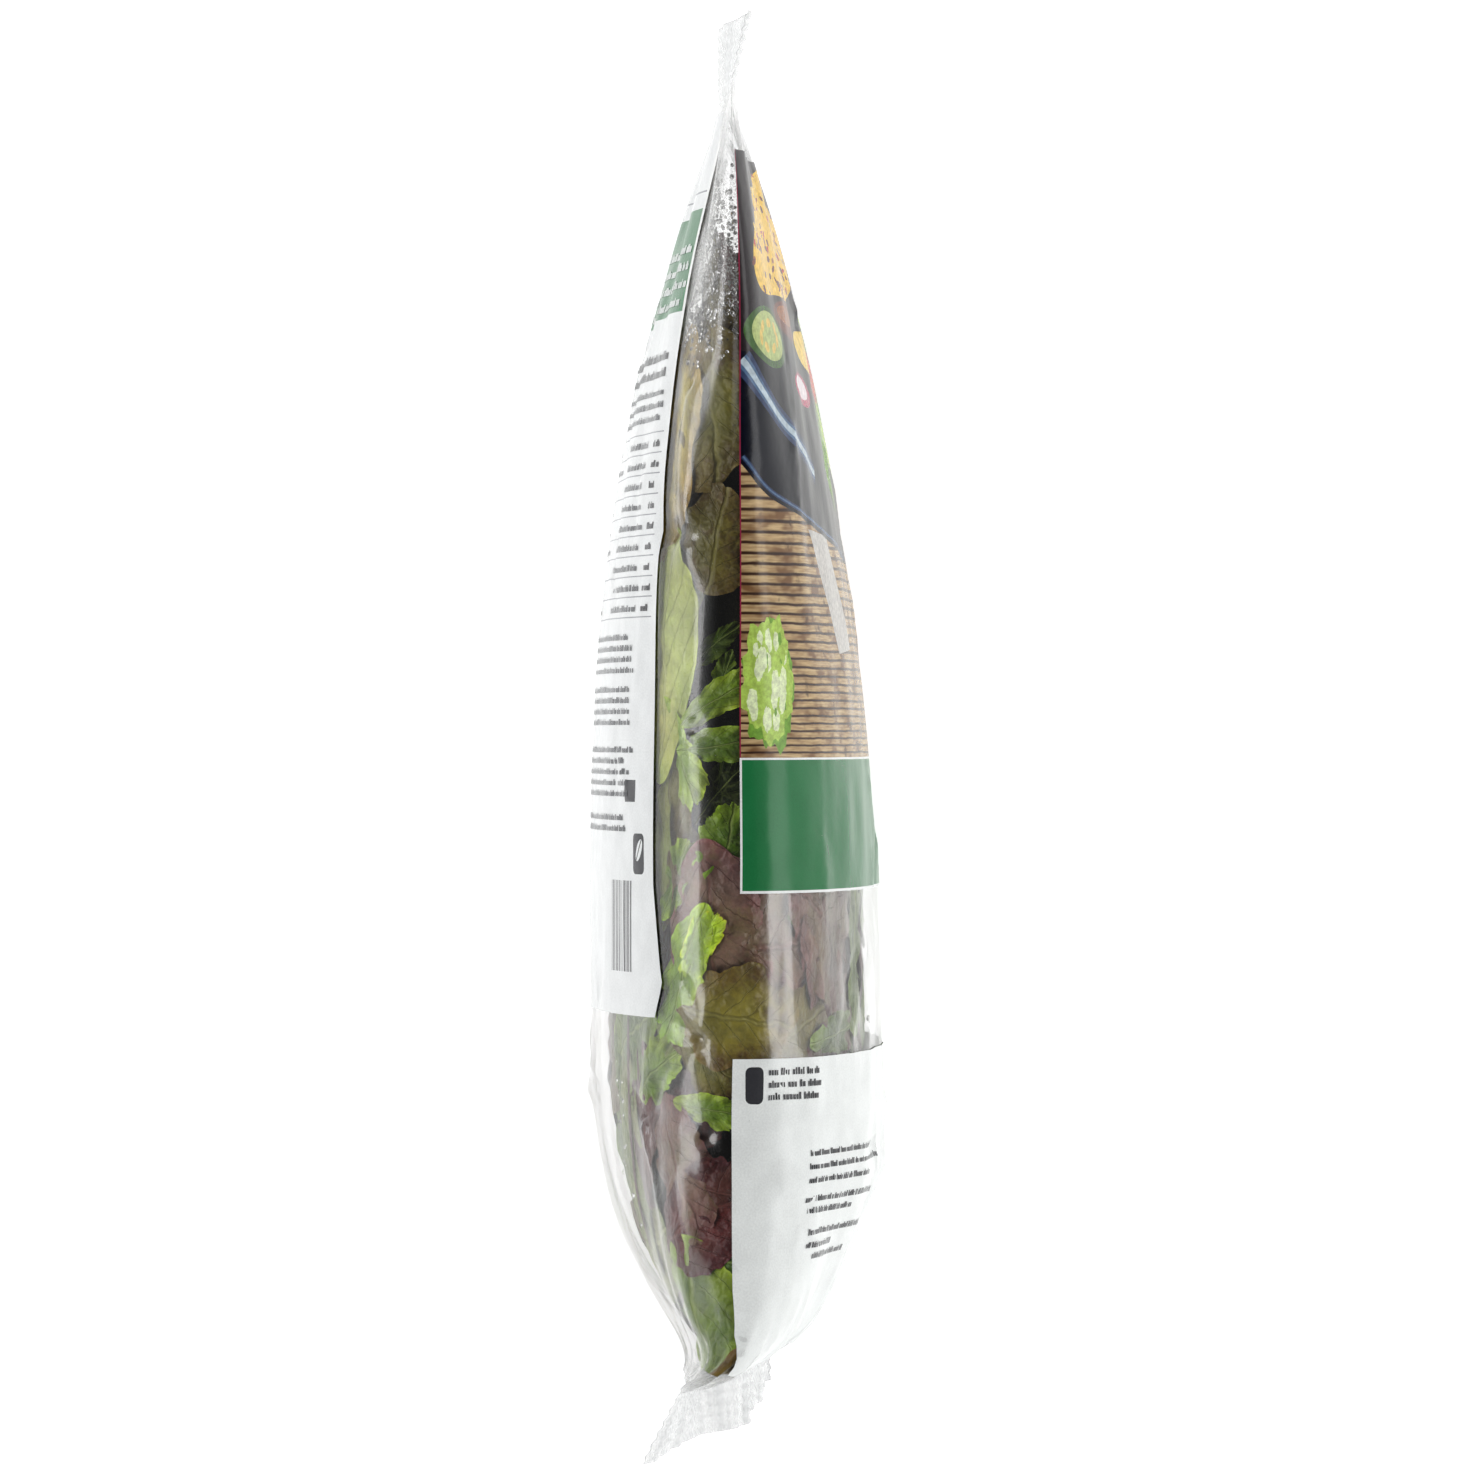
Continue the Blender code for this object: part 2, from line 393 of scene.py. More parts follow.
# %% Film material
FILM_MIRROR, LOW_MIRROR = 0.070, 0.022           # the share mirrored face on, and the one used low down
LOW_FILM = (-96.0, -84.0)                        # mm along the bag: wholly below, not at all above
FILM_ROUGHNESS = 0.18
FILM_HAZE = 0.006
SEAL_HAZE, SEAL_COLOUR = (0.24, 0.58), (0.84, 0.85, 0.85)
MIST, MIST_COLOUR = 0.58, (0.60, 0.60, 0.58)
MIST_RISE = (73.0, 92.0)                         # mm along the bag: none below, full above
MIST_FADE = (109.0, 97.0, 0.22, 1.0)             # and where it thins out again, to a share of 0.22
CLEAR, CLEAR_END, CLEAR_SEAL = 0.950, 0.905, 0.93
END_FILM = (94.0 * MM, 114.0 * MM)


def film_material():
    """Clear film with its mirror, the haze of its seals and the mist inside it."""
    material, tree, output = new_tree("clear_film")
    facing = add(tree, "LayerWeight", {"Blend": 0.5}).outputs["Facing"]
    slanted = calc(tree, "MULTIPLY", calc(tree, "POWER", facing, 5.0), 0.85)
    flat_x = add(tree, "SeparateXYZ", {0: add(tree, "UVMap", uv_map="flat").outputs[0]}).outputs[0]
    face_on = between(tree, flat_x, *LOW_FILM, LOW_MIRROR, FILM_MIRROR)
    mirrored = calc(tree, "ADD", slanted, face_on, clamp=True)
    place = add(tree, "TexCoord").outputs["Object"]
    ripple = noise(tree, place, 130.0, 2.0)
    bump = add(tree, "Bump", {"Height": ripple, "Strength": 0.12, "Distance": 0.0006}).outputs[0]
    along = calc(tree, "ABSOLUTE", add(tree, "SeparateXYZ", {0: place}).outputs[0])
    towards_end = between(tree, along, *END_FILM, CLEAR, CLEAR_END)
    passed = between(tree, along, ROOT - 2.0 * MM, ROOT + 1.0 * MM, towards_end, CLEAR_SEAL)
    tone = add(tree, "CombineColor", {0: passed, 1: passed, 2: passed}).outputs[0]
    clear = add(tree, "BsdfTransparent", {"Color": tone}).outputs[0]
    mirror_values = {"Color": (1.0, 1.0, 1.0, 1.0), "Roughness": FILM_ROUGHNESS, "Normal": bump}
    mirror = add(tree, "BsdfGlossy", mirror_values).outputs[0]
    clean = add(tree, "MixShader", {0: mirrored, 1: clear, 2: mirror}).outputs[0]
    streaks = add(tree, "Mapping", {"Vector": place, "Scale": (90.0, 420.0, 420.0)}).outputs[0]
    streaky = between(tree, noise(tree, streaks, 1.0, 3.0), 0.38, 0.68, *SEAL_HAZE)
    on_seal = between(tree, along, ROOT - 4.0 * MM, ROOT + 0.5 * MM)
    misty = calc(tree, "MULTIPLY", between(tree, flat_x, *MIST_RISE), between(tree, flat_x, *MIST_FADE))
    grains = between(tree, noise(tree, place, 2400.0, 2.0), 0.42, 0.62, 0.25, 1.0)
    clouds = between(tree, noise(tree, place, 140.0, 3.0), 0.35, 0.60, 0.35, 1.0)
    uneven = calc(tree, "MULTIPLY", grains, clouds)
    mist = calc(tree, "MULTIPLY", calc(tree, "MULTIPLY", misty, MIST), uneven)
    haze = calc(tree, "MAXIMUM", mist, calc(tree, "MULTIPLY", on_seal, streaky))
    haze = calc(tree, "MAXIMUM", haze, FILM_HAZE)
    pale = blend(tree, on_seal, MIST_COLOUR, SEAL_COLOUR)
    milky = add(tree, "BsdfDiffuse", {"Color": pale}).outputs[0]
    hazy = add(tree, "MixShader", {0: haze, 1: clean, 2: milky}).outputs[0]
    tree.links.new(hazy, output.inputs[0])
    return material


print("the film mirrors", FILM_MIRROR, "face on and lets through", CLEAR)

# %% [markdown]
# ### Creases
# Film can bend but it can't stretch, so a bag is never smooth. Where there is film to spare it buckles to a
# point, and straight creases run out from that point like the arms of a star: deep and narrow at the point,
# shallow and wide at their far ends. Some are ridges and some are valleys. The creases are pressed straight
# into the shape, along the film's own normals. First comes the grid that they are pressed into. Its rows lie
# closer on the seals, which need them for their crimps.

# %% Grid of the film
SEAL_ROWS, BODY_ROWS, FILM_COLUMNS = 36, 230, 322
FILM_ROWS = 2 * SEAL_ROWS + BODY_ROWS
inner = ROOT - 1.0 * MM
seal_x = np.linspace(inner, CAD_HIGH.x, SEAL_ROWS + 1)[1:]
film_x = np.concatenate([-seal_x[::-1], np.linspace(-inner, inner, BODY_ROWS), seal_x])
film_s = np.linspace(-FLAT_WIDTH, FLAT_WIDTH, FILM_COLUMNS + 1)[:-1]
grid_x, grid_s = np.meshgrid(film_x, film_s, indexing="ij")
smooth_points = section(grid_x, look_up(table_turn, grid_x, grid_s), 0.0)
print("film grid:", smooth_points.shape[:2])

# %% [markdown]
# The buckles that show are listed one by one: where each point lies, and its arms. An arm's angle is 0
# towards the top seal and 90 towards the front, and a negative depth makes it a ridge. Flats are a gentler
# tool. They press the rounded edge a little flat, or fill it out, which moves and widens its reflections.

# %% Buckles and flats
BUCKLES = [
    # x, s, arms: angle, length, depth
    (66.0, -12.0, ((40.0, 8.0, 0.8), (172.0, 34.0, -0.2), (-150.0, 17.0, 0.6), (-30.0, 24.0, 0.4))),
    (38.0, -9.0, ((-90.0, 16.0, 1.6), (-14.0, 16.0, -0.8), (100.0, 12.0, 0.6), (178.0, 30.0, -0.2))),
    (37.0, -20.0, ((60.0, 12.0, 0.9), (180.0, 34.0, -0.7), (-20.0, 20.0, 0.4))),
    (2.0, -10.0, ((2.0, 34.0, -0.2), (60.0, 8.0, 0.5), (118.0, 9.0, 0.5), (178.0, 48.0, -0.2),
                  (-80.0, 9.0, 0.4))),
    (-46.0, -12.0, ((8.0, 30.0, -0.3), (150.0, 14.0, 0.7), (-110.0, 12.0, 0.6))),
    (-57.0, -8.0, ((-66.0, 15.0, 1.1), (-115.0, 15.0, 1.0), (20.0, 18.0, -0.6), (95.0, 26.0, 0.6),
                   (165.0, 16.0, 0.7))),
    (-72.0, -28.0, ((46.0, 29.0, 1.4), (160.0, 34.0, -1.3), (88.0, 21.0, 1.0), (-58.0, 18.0, 0.8),
                    (15.0, 30.0, -0.7))),
    (-76.0, -7.0, ((55.0, 8.0, 0.9), (125.0, 9.0, 0.9), (-60.0, 9.0, 0.5), (175.0, 20.0, -0.5))),
    (-79.0, 68.0, ((-95.0, 34.0, 1.1), (-60.0, 26.0, -0.7), (-140.0, 30.0, -0.8), (90.0, 30.0, 0.8))),
    (-92.0, 13.0, ((-42.0, 26.0, 0.7), (176.0, 28.0, -0.8), (60.0, 24.0, 0.6), (110.0, 34.0, -0.6))),
    (-72.0, 4.0, ((40.0, 22.0, 0.6), (100.0, 38.0, 0.5), (-20.0, 12.0, 0.5))),
    (-122.0, -3.0, ((-34.0, 26.0, -1.4), (-8.0, 22.0, 1.0), (24.0, 20.0, -0.9), (50.0, 24.0, 0.8))),
    (60.0, 22.0, ((10.0, 40.0, 0.4), (185.0, 60.0, -0.5))),
    (-16.0, 24.0, ((0.0, 26.0, -0.4), (182.0, 40.0, -0.6), (140.0, 18.0, 0.4))),
]
FLATS = [
    # x from, x to, s, depth (negative fills), width
    (74.0, 26.0, -11.0, -1.50, 4.8),
    (24.0, -22.0, -10.5, 0.20, 1.9),
    (-20.0, -50.0, -10.5, 0.25, 2.0),
    (-24.0, -62.0, 8.5, 0.35, 2.4),
    (50.0, -26.0, 8.0, 0.16, 2.2),
    (-58.0, -90.0, -24.0, 0.60, 4.0),
    (-60.0, -100.0, 26.0, 0.60, 5.0),
    (-76.0, -118.0, -13.5, -1.80, 5.5),
]
POINT_WIDTH, SPREAD = 0.8, 0.10     # a crease's width at its point in mm, and how fast it widens
SHARPEN = 1.35                      # scales every crease
FLAT_FADE = 9.0                     # how soon a flat starts and ends, in mm


def crease(rows, x, s, angle, length, depth):
    """Depth of one crease over some rows of the film, in mm."""
    away_x, away_s = grid_x[rows] / MM - x, wrapped(grid_s[rows] - s * MM) / MM
    c, d = math.cos(math.radians(angle)), math.sin(math.radians(angle))
    along = (away_x * c + away_s * d) / length
    aside = away_s * c - away_x * d
    wide = POINT_WIDTH + SPREAD * length * np.clip(along, 0.0, 1.0)
    fade = ease((along * length + 1.5) / 1.5) * (1.0 - ease(along))
    return SHARPEN * depth * fade * np.exp(-np.sqrt(aside ** 2 + 0.06) / wide)


def pressed_flat(x_from, x_to, s, depth, width):
    """Depth of one flat over the whole film, in mm."""
    fade = ease((x_from - grid_x / MM) / FLAT_FADE) * ease((grid_x / MM - x_to) / FLAT_FADE)
    return depth * fade * np.exp(-((wrapped(grid_s - s * MM) / MM / width) ** 2))


arms_listed = sum(len(arms) for _, _, arms in BUCKLES)
print(len(BUCKLES), "buckles with", arms_listed, "arms, and", len(FLATS), "flats")


# %% [markdown]
# The rest of the bag gets random buckles from a fixed seed, and each seal sends gathers a little way in, as
# it does on a bag that was closed between hot jaws. All of them add up to one depth at every point of the
# grid. It's softly limited to a share of the smaller bulge there, so the panels don't meet.

# %% Random buckles
RANDOM_BUCKLES, GATHER_PITCH = 64, 9.0
ROOM_SHARE = 0.33       # no crease is deeper than this share of the smaller bulge, and 0.05 mm


def random_buckles(rng):
    """Shallower buckles for the parts that the list leaves out, and gathers that run in from the seals."""
    buckles = []
    for _ in range(RANDOM_BUCKLES):
        x, s = rng.uniform(-108.0, 96.0), rng.uniform(22.0, 188.0) * rng.choice((-1.0, 1.0))
        deep = rng.uniform(0.25, 0.6) + 0.5 * (abs(s) > 160.0) + 0.3 * (x < -60.0)
        arms, turn = [], rng.uniform(0.0, 360.0)
        for k in range(rng.integers(3, 6)):
            turn += rng.uniform(50.0, 110.0)
            way = 1.0 if k % 2 else -0.8
            arms.append((turn, rng.uniform(9.0, 34.0), deep * way * rng.uniform(0.6, 1.2)))
        buckles.append((x, s, arms))
    for end in (1.0, -1.0):
        for s in np.arange(-182.0, 186.0, GATHER_PITCH) + rng.uniform(-3.5, 3.5, 41):
            angle = (180.0 if end > 0.0 else 0.0) + rng.uniform(-9.0, 9.0)
            arm = (angle, rng.uniform(14.0, 46.0), rng.uniform(0.3, 0.9) * rng.choice((-1.0, 1.0)))
            buckles.append((end * (ROOT / MM - 1.0), s, (arm,)))
    return buckles


def creased(rng, points):
    """Presses every crease into the film, but hardly deeper than a third of the smaller bulge there."""
    sunk = np.zeros(grid_x.shape)
    for x, s, arms in BUCKLES + random_buckles(rng):
        for angle, length, depth in arms:
            rows = np.flatnonzero(np.abs(film_x / MM - x) < length + 6.0)
            sunk[rows] += crease(rows, x, s, angle, length, depth)
    for values in FLATS:
        sunk += pressed_flat(*values)
    room = ROOM_SHARE * np.minimum(bulge(FRONT, grid_x), bulge(BACK, grid_x)) / MM + 0.05
    sunk = room * np.tanh(sunk / room)
    around = np.roll(points, -1, axis=1) - np.roll(points, 1, axis=1)
    normals = np.cross(around, np.gradient(points, axis=0))
    normals /= np.linalg.norm(normals, axis=-1, keepdims=True) + 1e-12
    return points - normals * sunk[..., None] * MM


# %% [markdown]
# A fine uneven ripple goes over the whole body, longer along the bag than across. The seals get their
# crimps, ridges that run along the cut end, and small gathers, where the jaws caught spare film.

# %% Ripples and crimps
CRIMPS, CRIMP_DEPTH = 6, 0.20 * MM
GATHER_DEPTH = 0.40 * MM
SEAL_HALF_THICKNESS = 0.25 * MM
RIPPLE_DEPTH = 0.07 * MM


def ripples(rng, x, s, wave_x, wave_s, count=9):
    """Random waves that are whole numbers of turns round the tube, so they meet themselves."""
    height = 0.0
    for _ in range(count):
        turns = max(1, round(2.0 * FLAT_WIDTH / (wave_s * rng.uniform(0.7, 1.6))))
        rate = 2.0 * math.pi / (wave_x * rng.uniform(0.7, 1.6)) * rng.choice((-1.0, 1.0))
        height = height + np.sin(turns * math.pi * s / FLAT_WIDTH + rate * x + rng.uniform(0.0, 6.3))
    return height / math.sqrt(0.5 * count)


def seal_offset(rng, x, s):
    """How far a point of a seal stands off its smooth line: crimps, gathers and half the thickness."""
    out = (np.abs(x) - ROOT) / SEAL_LENGTH
    on_seal = ease(out / 0.08)
    ridge = CRIMP_DEPTH * np.sin(2.0 * math.pi * CRIMPS * out) * on_seal
    gather = GATHER_DEPTH * ripples(rng, 0.0, np.abs(s), 1.0, 13.0 * MM, 6)
    gather = gather * np.clip(out + 0.25, 0.0, 1.0) * np.where(x < 0.0, 1.0, 0.45)
    apart = np.minimum(1.0, np.abs(np.sin(math.pi * s / FLAT_WIDTH)) * 6.0)
    side = -np.sign(s) * SEAL_HALF_THICKNESS * apart
    return ridge + gather + side * ease(out / 0.1 + 1.0)


# %% [markdown]
# With the creases, ripples and crimps in hand, the film itself is a grid that closes on itself, and a strip
# of faces shuts each cut end. In the end it is centred, like the solid it replaces.

# %% Film
rng = np.random.default_rng(21)
film_points = creased(rng, smooth_points)
on_body = ease((ROOT - np.abs(grid_x)) / (12.0 * MM))
wobble = RIPPLE_DEPTH * ripples(rng, grid_x, grid_s, 34.0 * MM, 15.0 * MM) * on_body
film_points[..., 1] += wobble * np.sign(film_points[..., 1] - smooth_points.mean(axis=1)[:, None, 1])
film_points[..., 1] += seal_offset(rng, grid_x, grid_s)
film_points[..., 2] = np.maximum(film_points[..., 2], 0.0)
off_centre = 0.5 * (film_points[..., 1].min() + film_points[..., 1].max())
film_points[..., 1] -= off_centre
smooth_points[..., 1] -= off_centre
film_box = film_points.reshape(-1, 3)
print("film box, mm:", np.round((film_box.max(axis=0) - film_box.min(axis=0)) / MM, 1))


def build_film():
    """The film as one closed surface, with the two cut ends closed."""
    faces = grid_faces(FILM_ROWS, FILM_COLUMNS, True)
    last = (FILM_ROWS - 1) * FILM_COLUMNS
    ring = list(range(FILM_COLUMNS))
    for start, outward in ((0, False), (last, True)):
        for j in range(FILM_COLUMNS // 2):
            corners = [ring[j], ring[j + 1], ring[-j - 1], ring[-j % FILM_COLUMNS]]
            corners = [start + c for k, c in enumerate(corners) if c not in corners[:k]]
            faces.append(corners if outward else corners[::-1])
    flat_places = np.stack([grid_x / MM, grid_s / MM], axis=-1).reshape(-1, 2)
    return make_piece("film", film_points.reshape(-1, 3), faces, film_material(), flat_places)


film = build_film()

# %% [markdown]
# Later pieces have to sit on the film or just under it, so a second helper reads the finished film at any
# flat coordinates and moves the point along the film's normal: out for ink, in for water.

# %% Reading the film
along_x = np.gradient(film_points, axis=0)
along_s = np.roll(film_points, -1, axis=1) - np.roll(film_points, 1, axis=1)
film_normals = np.cross(along_s, along_x)
film_normals /= np.linalg.norm(film_normals, axis=-1, keepdims=True) + 1e-12


def read_film(table, x, s):
    """Bilinear reading of a table that has an entry for each point of the film."""
    i = np.clip(np.interp(x, film_x, np.arange(FILM_ROWS)), 0.0, FILM_ROWS - 1.001)
    j = (wrapped(s) - film_s[0]) / (film_s[1] - film_s[0])
    row, column = i.astype(int), np.floor(j).astype(int)
    u, v = (i - row)[..., None], (j - column)[..., None]
    column, beside = column % FILM_COLUMNS, (column + 1) % FILM_COLUMNS
    return ((table[row, column] * (1 - v) + table[row, beside] * v) * (1 - u)
            + (table[row + 1, column] * (1 - v) + table[row + 1, beside] * v) * u)


def on_film(x, s, lift):
    """Points of the film at flat coordinates, moved outwards by lift."""
    x, s = np.asarray(x, float), np.asarray(s, float)
    points = read_film(film_points, x, s)
    points = points + read_film(film_normals, x, s) * np.asarray(lift, float)[..., None]
    points[..., 2] = np.maximum(points[..., 2], 0.0)
    return points


PRESSED_REACH = 7.0 * MM     # how deep the film's creases press into the leaves


def in_bag(x, s, depth):
    """Points under the film that also give way to its creases, less and less with depth."""
    pressed = read_film(film_points - smooth_points, x, s)
    points = under_film(x, s, depth)
    points[..., 1] -= off_centre
    return points + pressed * np.exp(-np.asarray(depth)[..., None] / PRESSED_REACH)


middle_of_panels = on_film(np.zeros(2), np.array([-0.5, 0.5]) * FLAT_WIDTH, np.zeros(2))
print("panels at the middle, Y in mm:", np.round(middle_of_panels[:, 1] / MM, 1))


# %% [markdown]
# ## The print
# The print is ink on the film's outside: a picture with a green band, a white label and the back's white
# panel of small type. Here the picture is a plain kitchen scene of fields of colour. Each panel is drawn
# flat, as outlines that lie on one another. A constrained triangulation splits the panel along all of them
# at once, each triangle takes the ink of the topmost outline round it, and extra points let the sheet bend.
# Then it's laid on the film. Type is greeked: rows of small blocks that only have the rhythm of words. They
# are too many to triangulate with the rest, so each is a facet of its own, a hair above the panel.

# %% Inks and outlines
INK_LIFT = 0.30 * MM
INKS = {
    "slate": screen_colour(38, 31, 34), "navy": screen_colour(10, 13, 26),
    "navy_light": screen_colour(52, 66, 98), "navy_mid": screen_colour(84, 110, 142),
    "pale_blue": screen_colour(186, 202, 212), "lemon": screen_colour(240, 194, 62),
    "flesh": screen_colour(244, 208, 96), "rind": screen_colour(62, 96, 44),
    "cucumber": screen_colour(178, 192, 120), "seed": screen_colour(226, 196, 104),
    "nut": screen_colour(112, 54, 34), "nut_light": screen_colour(158, 98, 56),
    "radish": screen_colour(176, 40, 84), "radish_flesh": screen_colour(236, 222, 226),
    "tomato": screen_colour(184, 48, 34), "tomato_light": screen_colour(214, 92, 60),
    "lettuce": screen_colour(176, 206, 92), "lettuce_light": screen_colour(228, 240, 192),
    "lettuce_dark": screen_colour(120, 164, 62), "napkin": screen_colour(196, 192, 186),
    "green": screen_colour(34, 116, 66), "white": screen_colour(244, 246, 245),
    # The ink of the wedge along the back panel's edge is a painted highlight, for the film's sheen along a
    # fold.
    "fold_highlight": screen_colour(244, 245, 243), "label": screen_colour(243, 246, 244),
    "paper": screen_colour(234, 236, 236), "type": screen_colour(86, 88, 92),
    "bold_type": screen_colour(58, 58, 62), "line": screen_colour(150, 152, 156),
    "edge": screen_colour(150, 44, 72), "board": (0.5, 0.4, 0.3),
}
print(len(INKS), "inks")


def box_outline(x_low, x_high, s_low, s_high):
    """The four corners of a plain box."""
    return [(x_low, s_low), (x_high, s_low), (x_high, s_high), (x_low, s_high)]


def oval(x, s, half_x, half_s, turn=0.0, count=36, wave=0.0, waves=0):
    """An oval, turned, with an optional number of waves round it."""
    c, d = math.cos(turn), math.sin(turn)
    outline = []
    for i in range(count):
        angle = 2.0 * math.pi * i / count
        reach = 1.0 + wave * math.sin(waves * angle)
        a, b = half_x * reach * math.cos(angle), half_s * reach * math.sin(angle)
        outline.append((x + a * c - b * d, s + a * d + b * c))
    return outline


def rounded(x_low, x_high, s_low, s_high, radius):
    """A box with rounded corners."""
    outline = []
    centres = ((x_high - radius, s_high - radius), (x_low + radius, s_high - radius),
               (x_low + radius, s_low + radius), (x_high - radius, s_low + radius))
    for k, (x, s) in enumerate(centres):
        for i in range(5):
            angle = 0.5 * math.pi * (k + i / 4.0)
            outline.append((x + radius * math.cos(angle), s + radius * math.sin(angle)))
    return outline


# %% [markdown]
# Small type comes next. A row of it is a run of little blocks in groups, and a group is as long as a word.
# The blocks are only collected here. They become facets when everything else has been drawn.

# %% Greeked type
type_blocks = []


def greek(rng, x, s_from, s_to, height, ink="type"):
    """A row of small blocks grouped like words. The row runs along s, and height is its capital height."""
    s = s_from
    while s < s_to - height:
        for _ in range(rng.integers(2, 9)):
            width = height * rng.uniform(0.22, 0.5)
            if s + width > s_to:
                break
            tall = height * rng.choice((0.72, 0.72, 1.0))
            type_blocks.append((ink, box_outline(x, x + tall, s, s + width)))
            s += width + 0.16 * height
        s += 0.45 * height


print("type blocks so far:", len(type_blocks))

# %% [markdown]
# A panel of ink has to bend with the film, so it can't be one big face. Blender's constrained Delaunay
# triangulation takes the outlines of all motifs and a net of extra points, and gives triangles that never
# cross an outline. Counting crossings then tells which motif lies uppermost over each triangle. A painted
# image would have been the other way, but then the edges of the inks would only be as sharp as the image.

# %% Flat panel to mesh
PANEL_SPACING = 2.4      # how far apart the points of a panel lie, in mm


def is_inside(points, outline):
    """Which points lie inside an outline, by counting the edges that a ray from each one crosses."""
    loop = np.array(outline)
    near = np.flatnonzero(np.all((points > loop.min(axis=0)) & (points < loop.max(axis=0)), axis=1))
    x, y = points[near, 0], points[near, 1]
    crossings = np.zeros(len(near), int)
    for (ax, ay), (bx, by) in zip(loop, np.roll(loop, -1, axis=0)):
        spans = (ay > y) != (by > y)
        crossings += spans & (x < ax + (y - ay) * (bx - ax) / ((by - ay) or 1.0))
    return near[crossings % 2 == 1]


def dense(outline, spacing):
    """The outline with its long edges split, so that every edge can bend."""
    points = []
    for (ax, ay), (bx, by) in zip(outline, outline[1:] + outline[:1]):
        parts = max(1, math.ceil(math.hypot(bx - ax, by - ay) / spacing))
        points += [(ax + (bx - ax) * k / parts, ay + (by - ay) * k / parts) for k in range(parts)]
    return points


def lay_panel(panel, motifs, spacing=PANEL_SPACING):
    """Splits a panel along its motifs, in flat millimetres. Returns points, triangles and inks."""
    ink, outline = panel
    x_low, x_high = min(p[0] for p in outline), max(p[0] for p in outline)
    s_low, s_high = min(p[1] for p in outline), max(p[1] for p in outline)
    points, loops = [], []
    for _, loop in [panel] + motifs:
        loop = dense(loop, spacing)
        loops.append(list(range(len(points), len(points) + len(loop))))
        points.extend(loop)
    across = np.arange(s_low + 0.5 * spacing, s_high - 0.3 * spacing, spacing)
    for k, x in enumerate(np.arange(x_low + 0.5 * spacing, x_high - 0.3 * spacing, spacing)):
        points.extend((float(x), float(s) + (0.25 if k % 2 else -0.25) * spacing) for s in across)
    result = delaunay_2d_cdt([Vector(p) for p in points], [], loops, 1, 1e-4, False)
    places, triangles = np.array([tuple(v) for v in result[0]]), np.array(result[2])
    middles = places[triangles].mean(axis=1)
    top = np.zeros(len(triangles), int)
    for number, (_, loop) in enumerate(motifs, start=1):
        top[is_inside(middles, loop)] = number
    kept = is_inside(middles, outline)
    inks = [ink if number == 0 else motifs[number - 1][0] for number in top[kept]]
    triangles = triangles[kept].tolist()
    print("panel:", len(places), "points,", len(motifs), "motifs")
    return places, triangles, inks


# %% [markdown]
# Three more outlines serve the picture: a smooth curve through a few corners, a stroke of some width along a
# path, and the frilled rim of a lettuce leaf.

# %% Curves and frills


def rounded_path(path, rounds=3):
    """Cuts the corners of a path a few times, which turns it into a smooth curve."""
    points = np.array(path, float)
    for _ in range(rounds):
        nearer = 0.75 * points[:-1] + 0.25 * points[1:]
        farther = 0.25 * points[:-1] + 0.75 * points[1:]
        cut = np.stack([nearer, farther], axis=1)
        points = np.concatenate([points[:1], cut.reshape(-1, 2), points[-1:]])
    return [tuple(p) for p in points.tolist()]


def stroke(path, width):
    """A line of some width along a path."""
    points = np.array(path)
    way = np.gradient(points, axis=0)
    step = np.linalg.norm(way, axis=1, keepdims=True)
    aside = np.stack([-way[:, 1], way[:, 0]], axis=1) * 0.5 * width / step
    return [tuple(p) for p in np.concatenate([points + aside, (points - aside)[::-1]]).tolist()]


def frilled(rng, x, s, half_x, half_s, count=72):
    """An oval with three sizes of waves round it, like the rim of a lettuce leaf."""
    angle = np.linspace(0.0, 2.0 * math.pi, count + 1)[:-1]
    reach = 1.0 + sum(high * np.sin(waves * angle + rng.uniform(0.0, 6.0))
                      for waves, high in ((5, 0.07), (11, 0.06), (23, 0.04)))
    outline = np.stack([x + half_x * reach * np.cos(angle), s + half_s * reach * np.sin(angle)], axis=1)
    return [tuple(p) for p in outline.tolist()]


print("a smoothed corner has", len(rounded_path([(0.0, 0.0), (1.0, 0.0), (1.0, 1.0)])), "points")

# %% [markdown]
# The picture is a table seen from above: a dark plate of salad with a golden fritter, on a slatted board.
# Plain overlapping shapes are enough, since only the strip beside the edge is seen from straight above. The
# later a motif comes in the list, the higher it lies.

# %% Picture on the front
PLATE_FRONT = [(51.5, 0.5), (45.2, 6.0), (42.2, 18.0), (38.0, 43.0), (34.0, 80.0)]
PLATE_REST = [(33.0, 110.0), (38.0, 150.0), (52.0, 176.0), (76.0, 178.0), (95.0, 160.0), (101.0, 120.0),
              (92.0, 85.0), (82.0, 58.0), (75.0, 40.0), (71.5, 20.0), (72.0, 0.5)]
GLEAM = [(70.5, 0.9), (64.0, 7.0), (58.0, 19.0), (50.5, 41.0)]
FRITTER = [(107.5, 34.0), (104.0, 22.0), (97.0, 10.5), (90.0, 5.6), (84.6, 7.0), (82.6, 14.0), (83.6, 26.0),
           (82.4, 40.0), (86.0, 62.0), (100.0, 66.0), (108.0, 50.0), (107.5, 34.0)]


